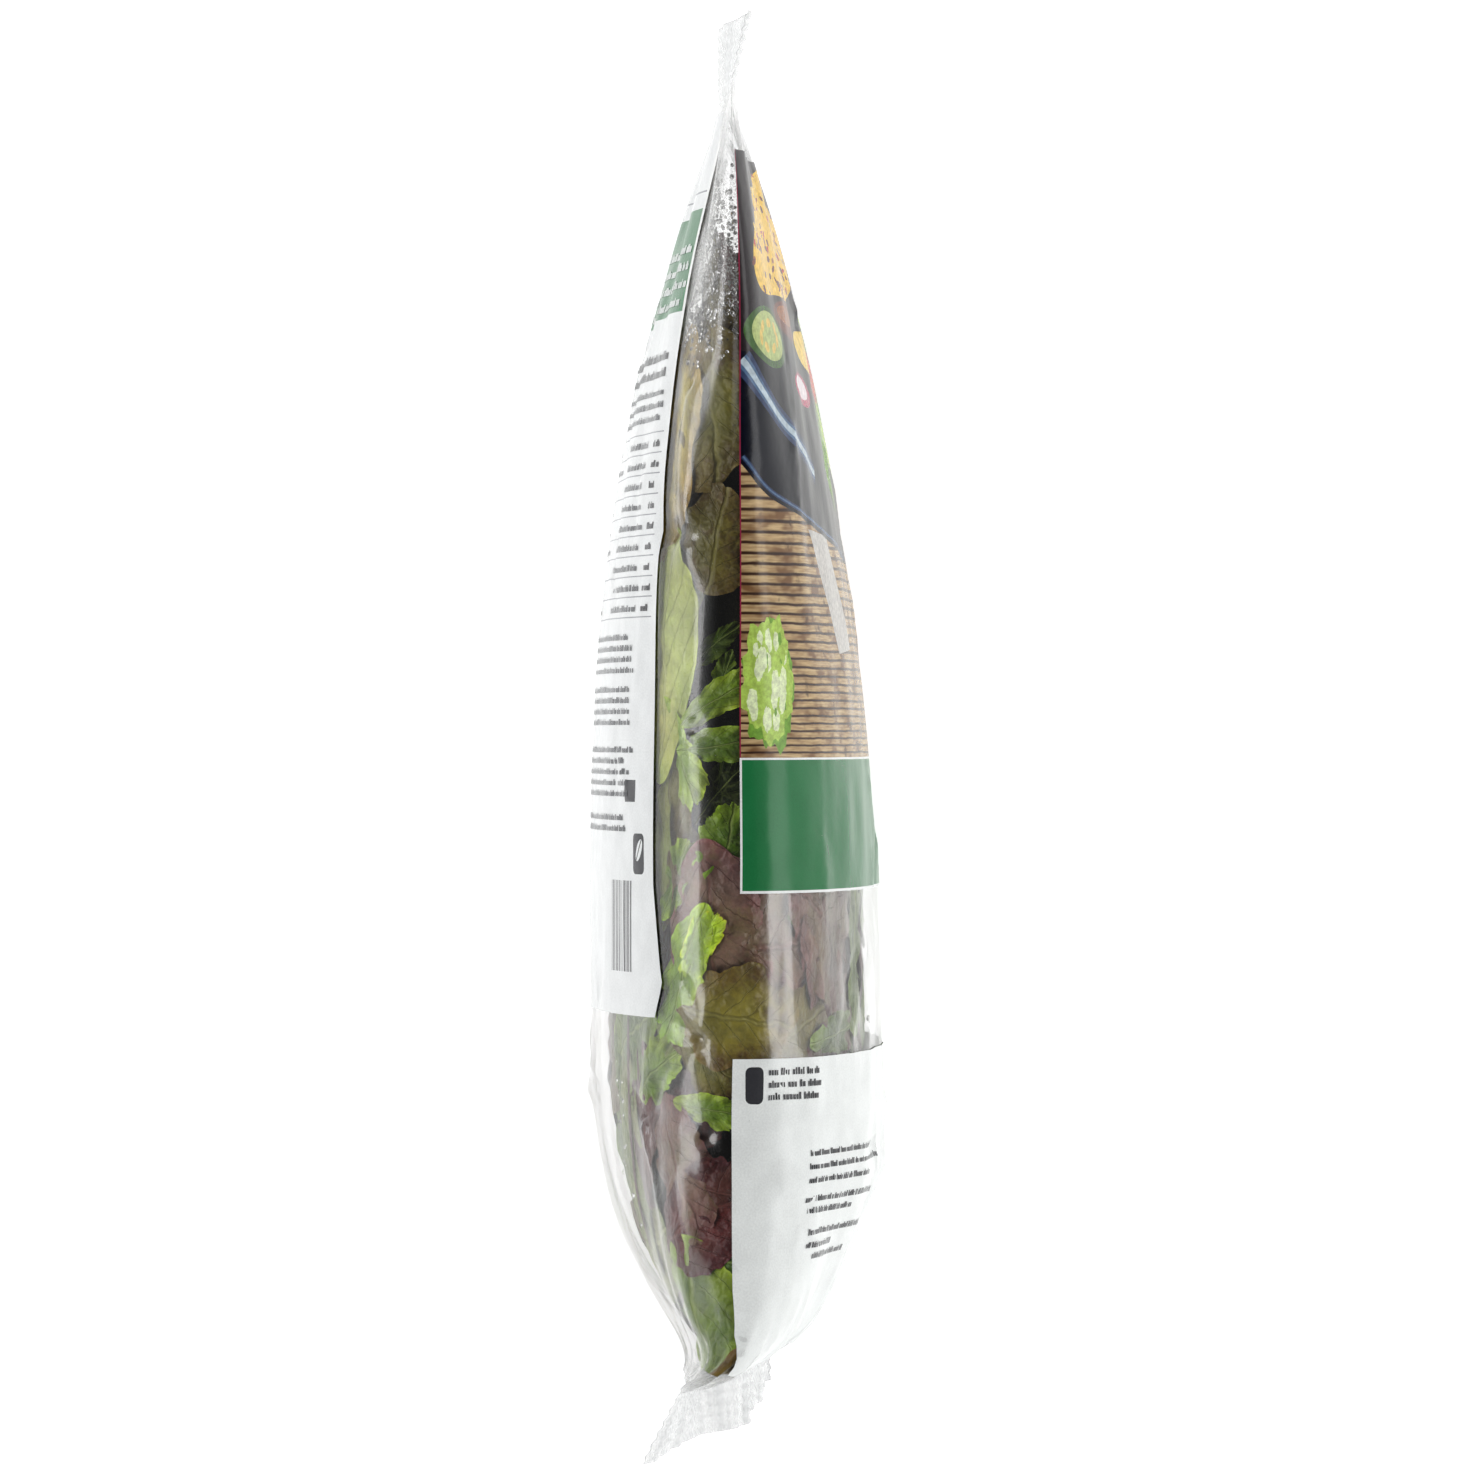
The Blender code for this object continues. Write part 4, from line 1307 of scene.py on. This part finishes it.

# %% [markdown]
# The leaves that show along the edge and in the clear window are listed one by one, with the kinds in the
# order they lie in the bag: olive oak leaves near the top, a long pale leaf and green frills in the middle,
# brown lollo in the window, and burgundy and big green leaves at the bottom. Gaps between them stay open on
# the dark inside.

# %% Leaves listed one by one
rng = np.random.default_rng(5)
PLACED = [
    # shade is partly each leaf's own lightness and partly painted light and shade: very low, a leaf stands
    # in for a dark gap, and well above 1, it paints light where a leaf lies at a slant or under a bright
    # reflection.
    # kind, x, s, turn, length, width, depth, shade, warm, tip, roll
    ("olive_oak", 79.0, -10.0, 165.0, 34.0, 26.0, 4.6, 0.66, 0.10, 0.0, 0.0),
    ("olive_oak", 80.0, 6.0, 190.0, 34.0, 22.0, 5.0, 0.50, 0.16, 0.0, 0.0),
    ("burgundy", 88.0, -3.0, 150.0, 16.0, 7.0, 3.4, 0.45, 0.10, 0.0, 0.0),
    ("olive_oak", 89.0, -9.0, 20.0, 13.0, 6.0, 3.6, 0.60, 0.10, 0.0, 0.0),
    ("olive_oak", 62.5, -5.0, 176.0, 29.0, 26.0, 2.3, 0.98, 0.02, 0.6, 0.0),
    ("olive_oak", 57.0, -19.5, 184.0, 42.0, 22.0, 1.5, 2.40, 0.10, 0.0, 0.2),
    ("olive_oak", 41.0, -20.0, 10.0, 26.0, 12.0, 4.4, 0.60, 0.04, 0.0, 0.0),
    ("olive_oak", 36.5, -4.0, 12.0, 20.0, 22.0, 1.9, 0.66, 0.06, 0.6, 0.0),
    ("pale_leaf", 16.0, -19.5, 3.0, 50.0, 20.0, 1.2, 1.40, 0.0, 0.2, 0.3),
    ("green_frill", 17.0, -6.0, 60.0, 16.0, 5.0, 5.0, 0.50, 0.0, 0.0, 0.0),
    ("green_frill", 11.5, -3.0, 25.0, 10.0, 5.0, 4.2, 0.80, 0.04, 0.0, 0.5),
    ("green_frill", 8.0, -2.5, 62.0, 25.0, 7.0, 1.7, 1.35, 0.06, 0.0, 0.9),
    ("green_frill", -3.0, -14.0, 152.0, 24.0, 9.0, 1.5, 1.55, 0.08, 0.0, 0.8),
    ("green_frill", -1.5, -3.0, 84.0, 24.0, 7.0, 2.2, 1.05, -0.03, 0.0, 0.5),
    # Painted shade: this leaf is made nearly black, to stand for a dark gap.
    ("green_frill", -10.0, -4.0, 50.0, 20.0, 9.0, 6.4, 0.14, -0.05, 0.0, 0.0),
    ("green_frill", -21.5, -2.0, 10.0, 18.0, 14.0, 2.4, 1.15, -0.08, 0.0, 1.4),
    ("olive_oak", -14.0, -18.0, 5.0, 44.0, 14.0, 3.0, 0.80, -0.02, 0.0, 0.0),
    ("pale_leaf", -22.0, -20.0, 2.0, 30.0, 6.0, 2.2, 0.78, 0.02, 0.0, 0.8),
    ("green_frill", -27.0, -15.5, 30.0, 18.0, 8.0, 1.8, 1.35, 0.0, 0.0, 0.9),
    ("brown_lollo", -37.0, -5.0, 172.0, 36.0, 24.0, 2.5, 1.60, 0.0, 0.5, 0.0),
    ("brown_lollo", -40.0, 10.0, 84.0, 38.0, 30.0, 3.1, 1.60, 0.0, 0.0, 0.5),
    ("brown_lollo", -36.0, 29.0, 120.0, 36.0, 28.0, 2.4, 1.60, 0.0, 0.4, 0.0),
    ("brown_lollo", -51.0, 36.0, 64.0, 38.0, 26.0, 3.3, 1.50, -0.02, 0.5, 0.0),
    ("burgundy", -48.0, 22.0, 100.0, 24.0, 14.0, 3.6, 1.0, 0.0, 0.0, 0.0),
    ("green_frill", -42.0, 56.0, 20.0, 34.0, 18.0, 2.6, 0.80, 0.0, 0.0, 0.0),
    ("green_frill", -40.0, -8.5, 30.0, 17.0, 8.0, 1.0, 2.5, 0.08, 0.0, 0.5),
    ("green_frill", -45.0, -12.5, 205.0, 30.0, 13.0, 1.0, 1.75, 0.0, 0.0, 0.6),
    ("pale_leaf", -50.0, -14.0, 190.0, 26.0, 15.0, 2.6, 0.60, -0.06, 0.0, 0.4),
    ("olive_oak", -53.0, -1.0, 96.0, 28.0, 20.0, 1.6, 1.25, 0.02, 0.0, 0.0),
    ("olive_oak", -56.0, 13.0, 70.0, 30.0, 17.0, 2.6, 0.86, 0.06, 0.0, 0.0),
    ("green_frill", -57.0, 34.0, 85.0, 30.0, 8.0, 2.2, 0.80, 0.0, 0.0, 0.0),
    ("olive_oak", -61.0, -7.0, 120.0, 24.0, 13.0, 2.2, 1.15, 0.0, 0.0, 0.5),
    ("green_frill", -57.0, -38.0, 250.0, 34.0, 20.0, 1.9, 1.10, 0.0, 0.0, 0.3),
    ("green_frill", -60.0, -48.0, 200.0, 34.0, 20.0, 3.2, 0.85, 0.0, 0.0, 0.0),
    ("olive_oak", -66.0, -4.0, 60.0, 20.0, 12.0, 4.6, 0.60, 0.0, 0.0, 0.0),
    ("green_frill", -64.0, -25.0, 64.0, 22.0, 11.0, 1.3, 1.35, 0.02, 0.0, 0.8),
    ("green_frill", -70.5, -6.0, 98.0, 20.0, 6.5, 1.1, 1.40, 0.02, 0.0, 1.2),
    ("burgundy", -71.0, -14.0, 80.0, 26.0, 15.0, 4.2, 0.60, 0.08, 0.0, 0.0),
    ("burgundy", -74.0, -34.0, 12.0, 34.0, 15.0, 2.2, 1.10, 0.08, 0.0, 0.3),
    ("brown_lollo", -81.0, -15.0, 150.0, 30.0, 19.0, 1.6, 1.20, 0.05, 0.0, 0.5),
    ("burgundy", -91.0, -9.0, 66.0, 32.0, 19.0, 1.8, 0.72, 0.10, 0.0, 0.0),
    ("burgundy", -86.0, -3.0, 100.0, 18.0, 13.0, 2.2, 0.60, 0.10, 0.0, 0.0),
    ("pale_leaf", -82.0, -45.0, 8.0, 44.0, 15.0, 2.4, 0.80, -0.04, 0.0, 0.3),
    ("burgundy", -76.0, -44.0, 6.0, 46.0, 2.4, 1.4, 0.90, 0.15, 0.0, 0.0),
    ("green_frill", -98.5, -4.0, 96.0, 20.0, 10.0, 2.4, 0.62, -0.06, 0.0, 0.0),
    ("green_frill", -109.0, -13.0, 184.0, 30.0, 34.0, 1.2, 0.90, 0.06, 0.5, 0.0),
    ("olive_oak", -119.0, 2.0, 60.0, 14.0, 9.0, 1.2, 1.0, 0.25, 0.0, 0.0),
]
for kind, x, s, turn, length, width, depth, shade, warm, tip, roll in PLACED:
    lay_leaf(rng, kind, x, s, turn, length, width, depth, shade, warm, tip, roll)
print(len(PLACED), "leaves placed by hand")

# %% [markdown]
# Everywhere else they are scattered: a seeded random place, turn and size, a kind that depends on how far
# up the bag it is, and a depth that puts most of them under the ones already laid. Their middles keep away
# from the gaps that are open on the dark, and from where print would hide them.

# %% Scattered leaves
GAPS = [
    # x, s, reach
    (45.0, -4.0, 5.0), (26.0, -1.5, 6.0), (13.0, -6.0, 7.0), (-9.0, -3.0, 8.0), (-66.0, -12.0, 4.0),
    (-76.0, -5.0, 4.5), (-92.0, -22.0, 3.0),
]
GAP_MARGIN = 16.0        # a scattered leaf's middle stays this much further away, in mm
SCATTERED = 170


def kind_at(rng, x):
    """Which kind grows likelier where: olive above, green in the middle and below, brown in the window."""
    chances = np.array([
        0.5 + 0.5 * ease((40.0 - x) / 60.0),
        0.25,
        1.2 * ease((x + 10.0) / 60.0) + 0.25,
        1.2 * np.exp(-((x + 45.0) / 24.0) ** 2) + 0.15,
        0.8 * np.exp(-((x + 85.0) / 22.0) ** 2) + 0.1,
    ])
    return list(KINDS)[rng.choice(len(KINDS), p=chances / chances.sum())]


def is_covered(x, s):
    """True where print hides the leaves, away from its edges."""
    front = 14.0 < s < 178.0 and (x > -18.0 or -110.0 < x < -72.0)
    back = -160.0 < s < -36.0 and x > -42.0
    return front or back


laid = 0
while laid < SCATTERED:
    x, s = rng.uniform(-112.0, 84.0), rng.uniform(-190.0, 190.0)
    in_gap = any(math.hypot(x - gap_x, s - gap_s) < GAP_MARGIN + reach for gap_x, gap_s, reach in GAPS)
    if is_covered(x, s) or in_gap:
        continue
    length = rng.uniform(30.0, 52.0)
    lay_leaf(rng, kind_at(rng, x), x, s, rng.uniform(0.0, 360.0), length, length * rng.uniform(0.45, 0.7),
             rng.uniform(3.4, 6.5), rng.uniform(0.75, 1.15), rng.uniform(-0.06, 0.08),
             rng.uniform(-1.0, 2.0), rng.uniform(-1.0, 1.5), COARSE)
    laid += 1
print(laid, "leaves scattered")

# %% [markdown]
# A leaf's skin is matt with a little sheen. The kind's colour comes with each point. On it the material
# draws the veins: the rib, pale side branches that leave it at a slant, and a fine net between them. Patches
# and a finer mottling vary the skin. The veins are also sunk a little, so the skin stands up between them.
# Red kinds are green under their red, so their patches are browner.

# %% Leaf material
SIDE_VEINS = 6.0         # how many side branches a leaf has along its rib
LEAF_ROUGHNESS, LEAF_SHEEN = 0.42, 0.26


def leaf_material(name, vein, patch, patch_share, mottle):
    """A leaf's skin: its own colour with patches and mottling, its veins, and the relief between them."""
    material, tree, output = new_tree(name)
    place = add(tree, "UVMap", uv_map="flat").outputs[0]
    solid = add(tree, "TexCoord").outputs["Object"]
    parts = add(tree, "SeparateXYZ", {0: place})
    bend = calc(tree, "MULTIPLY", calc(tree, "SUBTRACT", noise(tree, solid, 110.0), 0.5), 0.22)
    aside = calc(tree, "ABSOLUTE", calc(tree, "ADD", calc(tree, "SUBTRACT", parts.outputs[1], 0.5), bend))
    slant = calc(tree, "SUBTRACT", parts.outputs[0], calc(tree, "MULTIPLY", aside, 0.75))
    slant = calc(tree, "ADD", slant, calc(tree, "MULTIPLY", bend, 0.35))
    repeats = calc(tree, "FRACT", calc(tree, "MULTIPLY", slant, SIDE_VEINS))
    branch = calc(tree, "ABSOLUTE", calc(tree, "SUBTRACT", repeats, 0.5))
    side_veins = between(tree, branch, 0.0, 0.05, 0.55, 0.0)
    rib = between(tree, aside, 0.006, 0.035, 1.0, 0.0)
    shift = add(tree, "TexNoise", {"Vector": solid, "Scale": 240.0}).outputs[1]
    shifted = {0: shift, 1: (0.0022, 0.0022, 0.0022), 2: solid}
    wander = add(tree, "VectorMath", shifted, operation="MULTIPLY_ADD").outputs[0]
    net = add(tree, "TexVoronoi", {"Vector": wander, "Scale": 330.0}, feature="DISTANCE_TO_EDGE").outputs[0]
    main_veins = calc(tree, "MAXIMUM", rib, side_veins)
    veins = calc(tree, "MAXIMUM", main_veins, between(tree, net, 0.0, 0.12, 0.32, 0.0))
    own = add(tree, "Attribute", attribute_name="tint").outputs["Color"]
    patches = between(tree, noise(tree, solid, 95.0, 5.0, 0.7), 0.46, 0.62, 0.0, patch_share)
    skin = blend(tree, patches, own, patch)
    cloudy = between(tree, noise(tree, solid, 300.0, 5.0, 0.7), 0.30, 0.70, 1.0 - mottle, 1.0 + mottle)
    shade = add(tree, "CombineColor", {0: cloudy, 1: cloudy, 2: cloudy}).outputs[0]
    skin = blend(tree, 1.0, skin, shade, "MULTIPLY")
    colour = blend(tree, calc(tree, "MULTIPLY", veins, 0.40), skin, vein)
    height = calc(tree, "SUBTRACT", calc(tree, "MULTIPLY", noise(tree, solid, 260.0, 3.0), 1.8), main_veins)
    height = calc(tree, "SUBTRACT", height, between(tree, net, 0.0, 0.35, 0.35, 0.0))
    bump = add(tree, "Bump", {"Height": height, "Strength": 0.7, "Distance": 0.0011}).outputs[0]
    values = {"Base Color": colour, "Roughness": LEAF_ROUGHNESS, "Specular IOR Level": LEAF_SHEEN,
              "Normal": bump}
    shader = add(tree, "BsdfPrincipled", values)
    tree.links.new(shader.outputs[0], output.inputs[0])
    return material


# %% [markdown]
# Each heap becomes one piece with its own finish. The leaves in it were numbered one after another, so their
# tables only have to be joined.

# %% Heaps
LEAF_FINISH = {
    # name, vein colour, colour of the patches, their share, mottling
    "green_frill": ("green_leaf", screen_colour(176, 192, 108), screen_colour(62, 88, 28), 0.50, 0.20),
    "pale_leaf": ("pale_leaf", screen_colour(204, 206, 150), screen_colour(140, 150, 72), 0.50, 0.12),
    "olive_oak": ("olive_leaf", screen_colour(158, 152, 88), screen_colour(84, 58, 34), 0.75, 0.26),
    "brown_lollo": ("brown_leaf", screen_colour(122, 70, 66), screen_colour(112, 104, 62), 0.50, 0.24),
    "burgundy": ("burgundy_leaf", screen_colour(136, 84, 74), screen_colour(98, 66, 52), 0.40, 0.28),
}


def build_heap(kind):
    """All leaves of a kind as one piece. A face whose last corner repeats the first is a triangle."""
    heap = heaps[kind]
    faces = [tuple(f[:3]) if f[0] == f[3] else tuple(f) for f in np.concatenate(heap["faces"]).tolist()]
    material = leaf_material(*LEAF_FINISH[kind])
    return make_piece("leaves_" + kind, np.concatenate(heap["points"]), faces, material,
                      np.concatenate(heap["flat"]), np.concatenate(heap["tint"]))


leaves = {kind: build_heap(kind) for kind in KINDS}

# %% [markdown]
# The inside of the heap never shows as more than dark gaps, so a lumpy core stands in for it: the same
# section again, sunk well under the film and crumpled. Its near-black colour is painted shade.

# %% Core of the heap
CORE_ROWS, CORE_COLUMNS = 90, 110
CORE_DEPTH, CORE_LUMPS = 9.5 * MM, 1.6 * MM
# Painted shade: the core is coloured nearly black, for the shade deep in the heap.
CORE_SHADE_COLOURS = (screen_colour(16, 14, 11), screen_colour(44, 44, 24))


def build_core():
    """A lumpy tube well under the film, closed by a fan of triangles at each end, and coloured in painted
    shade.
    """
    rng = np.random.default_rng(3)
    x, s = np.meshgrid(np.linspace(-112.0, 90.0, CORE_ROWS) * MM,
                       np.linspace(-FLAT_WIDTH, FLAT_WIDTH, CORE_COLUMNS + 1)[:-1], indexing="ij")
    lumps = CORE_LUMPS * rumple(rng, x / MM, np.cos(s / FLAT_WIDTH * math.pi) * 60.0, 14.0)
    points = in_bag(x, s, CORE_DEPTH + lumps).reshape(-1, 3)
    ends = np.array([points[:CORE_COLUMNS].mean(axis=0), points[-CORE_COLUMNS:].mean(axis=0)])
    faces = grid_faces(CORE_ROWS, CORE_COLUMNS, True)
    first, last = len(points), len(points) + 1
    top = (CORE_ROWS - 1) * CORE_COLUMNS
    for j in range(CORE_COLUMNS):
        k = (j + 1) % CORE_COLUMNS
        faces += [(first, k, j), (last, top + j, top + k)]
    material, tree, output = new_tree("heap_inside_painted_shade")
    solid = add(tree, "TexCoord").outputs["Object"]
    shreds = noise(tree, solid, 120.0, 5.0, 0.7)
    colour = blend(tree, between(tree, shreds, 0.35, 0.65), *CORE_SHADE_COLOURS)
    bump = add(tree, "Bump", {"Height": shreds, "Strength": 0.8, "Distance": 0.003}).outputs[0]
    shader = add(tree, "BsdfPrincipled", {"Base Color": colour, "Roughness": 0.6, "Normal": bump})
    tree.links.new(shader.outputs[0], output.inputs[0])
    return make_piece("heap_core", np.concatenate([points, ends]), faces, material)


core = build_core()

# %% [markdown]
# ## Water
# Leaves breathe in the bag, and the water settles inside the film: drops near the empty top, and a few lower
# down on both sides. Drops bend the light of the dark heap up to us, so some of them look nearly black. That
# would take many bounces through the film, so a share of each drop's shading is simply dark.

# %% Water
WATER_PATCHES = [
    # x from, x to, s from, s to in mm, share of the places that hold a drop
    (69.0, 107.0, -20.5, 0.3, 1.0), (-94.0, -58.0, -47.0, -41.0, 0.10), (-62.0, -44.0, 54.0, 74.0, 0.03),
]
DROP_DEPTH = 0.35 * MM
DROP_RADIUS, DROP_GAP, DROP_SEED = 0.62 * MM, 0.50 * MM, 4
DROP_DENSITY = 2.6e6      # drops per square metre where share is 1


def water_material():
    """Clear water with glints, and dark parts that stand for the dark seen through it."""
    material, tree, output = new_tree("water_drops")
    white = (1.0, 1.0, 1.0, 1.0)
    glass = add(tree, "BsdfGlass", {"Color": white, "Roughness": 0.02, "IOR": 1.33}).outputs[0]
    glint = add(tree, "BsdfGlossy", {"Color": white, "Roughness": 0.15}).outputs[0]
    solid = add(tree, "TexCoord").outputs["Object"]
    share = between(tree, noise(tree, solid, 900.0, 1.0), 0.45, 0.60, 0.03, 0.20)
    bright = add(tree, "MixShader", {0: share, 1: glass, 2: glint}).outputs[0]
    dark = add(tree, "BsdfDiffuse", {"Color": (0.045, 0.038, 0.030, 1.0)}).outputs[0]
    shaded = between(tree, noise(tree, solid, 620.0, 1.0), 0.50, 0.62, 0.0, 0.65)
    tree.links.new(add(tree, "MixShader", {0: shaded, 1: bright, 2: dark}).outputs[0], output.inputs[0])
    return material


print(len(WATER_PATCHES), "patches of water")

# %% [markdown]
# Geometry Nodes scatter the drops over small patches that lie just inside the film. A drop is a flattened
# ball with few faces, turned to the film's normal. Its size is random, raised to a power, so that most are
# small. The radius, the gap, the density and the seed are inputs of the node tree, easy to change by hand.

# %% Nodes that scatter drops


def drop_tree(material):
    """Scatters drops over a mesh. The radius, the density, the gap and the seed are inputs."""
    tree = bpy.data.node_groups.new("drops", "GeometryNodeTree")
    sockets = {}
    inputs = (("Geometry", "Geometry"), ("Radius", "Float"), ("Density", "Float"), ("Gap", "Float"),
              ("Seed", "Int"))
    for name, kind in inputs:
        sockets[name] = tree.interface.new_socket(name, in_out="INPUT", socket_type="NodeSocket" + kind)
    tree.interface.new_socket("Geometry", in_out="OUTPUT", socket_type="NodeSocketGeometry")

    def node(kind, values=None, **settings):
        """Adds a node, as `add` does for materials."""
        made = tree.nodes.new(kind)
        for key, value in settings.items():
            setattr(made, key, value)
        for key, value in (values or {}).items():
            if isinstance(value, bpy.types.NodeSocket):
                tree.links.new(value, made.inputs[key])
            else:
                made.inputs[key].default_value = value
        return made

    given = node("NodeGroupInput").outputs
    share = node("GeometryNodeInputNamedAttribute", {"Name": "share"}, data_type="FLOAT").outputs[0]
    points = node("GeometryNodeDistributePointsOnFaces", {
        "Mesh": given["Geometry"], "Distance Min": given["Gap"], "Density Max": given["Density"],
        "Density Factor": share, "Seed": given["Seed"]}, distribute_method="POISSON")
    ball = node("GeometryNodeMeshUVSphere", {"Segments": 8, "Rings": 5, "Radius": 1.0}).outputs["Mesh"]
    flat_ball = node("GeometryNodeTransform", {"Geometry": ball, "Scale": (1.0, 1.0, 0.5)}).outputs[0]
    limits = {"Min": 0.35, "Max": 1.0, "Seed": given["Seed"]}
    chance = node("FunctionNodeRandomValue", limits, data_type="FLOAT")
    chance = next(s for s in chance.outputs if s.enabled)
    size = node("ShaderNodeMath", {0: chance, 1: 2.2}, operation="POWER").outputs[0]
    size = node("ShaderNodeMath", {0: size, 1: given["Radius"]}, operation="MULTIPLY").outputs[0]
    drops = node("GeometryNodeInstanceOnPoints", {"Points": points.outputs["Points"], "Instance": flat_ball,
                                                  "Rotation": points.outputs["Rotation"], "Scale": size})
    real = node("GeometryNodeRealizeInstances", {0: drops.outputs[0]}).outputs[0]
    smooth = node("GeometryNodeSetShadeSmooth", {0: real}).outputs[0]
    wet = node("GeometryNodeSetMaterial", {"Geometry": smooth, "Material": material}).outputs[0]
    node("NodeGroupOutput", {0: wet})
    return tree, {name: socket.identifier for name, socket in sockets.items()}


# %% [markdown]
# The patches are grids on the film, and the share of places that hold a drop fades towards the ends of each
# patch. Once the drops are scattered, the result is kept as a plain mesh.

# %% Drops
PATCH_ROWS, PATCH_COLUMNS = 30, 24
PATCH_FADE = 12.0        # mm


def build_drops():
    """The patches as one mesh, the drops scattered over it, and the result as a plain mesh."""
    points, faces, shares = [], [], []
    for x_low, x_high, s_low, s_high, share in WATER_PATCHES:
        x, s = np.meshgrid(np.linspace(x_low, x_high, PATCH_ROWS), np.linspace(s_low, s_high, PATCH_COLUMNS),
                           indexing="ij")
        start = PATCH_ROWS * PATCH_COLUMNS * len(points)
        faces += (np.array(grid_faces(PATCH_ROWS, PATCH_COLUMNS, False)) + start).tolist()
        points.append(on_film(x * MM, s * MM, np.full(x.shape, -DROP_DEPTH)).reshape(-1, 3))
        fade = 0.08 + 0.92 * ease((x - x_low) / PATCH_FADE) * ease((x_high - x) / PATCH_FADE)
        shares.append(share * fade.ravel())
    material = water_material()
    piece = make_piece("water_drops", np.concatenate(points), faces, material)
    piece.data.attributes.new("share", "FLOAT", "POINT").data.foreach_set("value", np.concatenate(shares))
    tree, identifiers = drop_tree(material)
    modifier = piece.modifiers.new("drops", "NODES")
    modifier.node_group = tree
    values = {"Radius": DROP_RADIUS, "Density": DROP_DENSITY, "Gap": DROP_GAP, "Seed": DROP_SEED}
    for name, value in values.items():
        modifier[identifiers[name]] = value
    seen = piece.evaluated_get(bpy.context.evaluated_depsgraph_get())
    mesh = bpy.data.meshes.new_from_object(seen)
    piece.modifiers.remove(modifier)
    piece.data = mesh
    print("water_drops -", len(mesh.polygons), "faces")
    return piece


water = build_drops()

# %% [markdown]
# ## Light and floor
# Soft boxes stand in three pairs. The first two are beside the bag, about as high as its upper edge and a
# little towards the bottom seal: each is mirrored in the film as a pale band beside the edge. They would
# light the labels too hard, so they are only mirrored, and lighting is left to a second pair, higher up,
# that isn't mirrored. Two more stand beyond the seals and do both. All are hidden from the camera, which
# matters for views from the side.

# %% Lights
SOFTBOX_LENGTH, SOFTBOX_HEIGHT = 0.50, 0.30
SOFTBOX_WATTS = {"softbox_front": 2.4, "softbox_back": 1.9}
SOFTBOX_ALONG, SOFTBOX_AWAY, SOFTBOX_LEVEL = -0.05, 0.80, 0.22
END_BOX_SIZE, END_BOX_WATTS = 0.9, 3.0
END_BOX_AWAY, END_BOX_LEVEL = 1.15, 1.25
FILL_SIZE, FILL_AWAY, FILL_LEVEL = 0.45, 0.85, 0.70
FILL_WATTS = {"fill_front": 3.75, "fill_back": 3.6}


def soft_box(name, place, size, watts, mirrored=True, lighting=True):
    """A soft rectangular light that faces the bag, and is mirrored in it, or lights it, or both."""
    data = bpy.data.lights.new(name, "AREA")
    data.shape = "RECTANGLE"
    data.size, data.size_y = size
    data.energy = watts
    light = bpy.data.objects.new(name, data)
    light.location = place
    towards = Vector((0.0, 0.0, WIDEST_DEPTH)) - Vector(place)
    light.rotation_euler = towards.to_track_quat("-Z", "Y").to_euler()
    light.visible_camera = False
    light.visible_glossy = mirrored
    light.visible_diffuse = lighting
    bpy.context.scene.collection.objects.link(light)


for name, side in (("softbox_front", -1.0), ("softbox_back", 1.0)):
    soft_box(name, (SOFTBOX_ALONG, side * SOFTBOX_AWAY, SOFTBOX_LEVEL), (SOFTBOX_LENGTH, SOFTBOX_HEIGHT),
             SOFTBOX_WATTS[name], lighting=False)
for name, side in (("softbox_top_end", 1.0), ("softbox_bottom_end", -1.0)):
    soft_box(name, (side * END_BOX_AWAY, 0.0, END_BOX_LEVEL), (END_BOX_SIZE, END_BOX_SIZE), END_BOX_WATTS)

for name, side in (("fill_front", -1.0), ("fill_back", 1.0)):
    soft_box(name, (0.1 * side, side * FILL_AWAY, FILL_LEVEL), (FILL_SIZE, FILL_SIZE), FILL_WATTS[name],
             mirrored=False)

# %% [markdown]
# The sky is pale at the horizon and dim overhead, so that the film over the dark gaps stays clear. The floor
# is pale and glows a little, which keeps the bag's surroundings white without a stronger light on the bag.

# %% Sky and floor
SKY_LOW, SKY_HIGH = 0.60, 0.06           # brightness near the horizon and overhead
FLOOR_HALF, FLOOR_DROP = 3.0, 0.0002     # half its width, and how far it lies under the bag
FLOOR_GLOW = 0.66

sky = bpy.data.worlds.new("sky")
sky.use_nodes = True
heading = add(sky.node_tree, "TexCoord").outputs["Generated"]
upward = add(sky.node_tree, "SeparateXYZ", {0: heading}).outputs[2]
glow = between(sky.node_tree, upward, 0.10, 0.70, SKY_LOW, SKY_HIGH)
sky.node_tree.links.new(glow, sky.node_tree.nodes["Background"].inputs[1])
sky.node_tree.nodes["Background"].inputs[0].default_value = (0.98, 0.99, 1.0, 1.0)
bpy.context.scene.world = sky
bpy.context.scene.view_settings.view_transform = "Standard"


def build_floor():
    """One large pale square just under the bag."""
    corners = ((-1.0, -1.0), (1.0, -1.0), (1.0, 1.0), (-1.0, 1.0))
    points = [(FLOOR_HALF * x, FLOOR_HALF * y, -FLOOR_DROP) for x, y in corners]
    material, tree, output = new_tree("pale_floor")
    values = {"Base Color": (0.93, 0.93, 0.93, 1.0), "Roughness": 0.9,
              "Emission Color": (1.0, 1.0, 1.0, 1.0), "Emission Strength": FLOOR_GLOW}
    shader = add(tree, "BsdfPrincipled", values)
    tree.links.new(shader.outputs[0], output.inputs[0])
    return make_piece("floor", points, [(0, 1, 2, 3)], material, smooth=False)


build_floor()

# %% [markdown]
# ## The body
# All pieces ride on the bag's one body. The film stands in for the imported solid.

# %% Ride
SLOTS = [(film, "film"), (core, "green_leaf"), (water, "water")]
SLOTS += [(piece, "print") for piece in prints]
for kind, piece in leaves.items():
    SLOTS.append((piece, "red_leaf" if kind in ("brown_lollo", "burgundy") else "green_leaf"))
for piece, slot in SLOTS:
    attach(piece, "root")
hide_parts("bag")
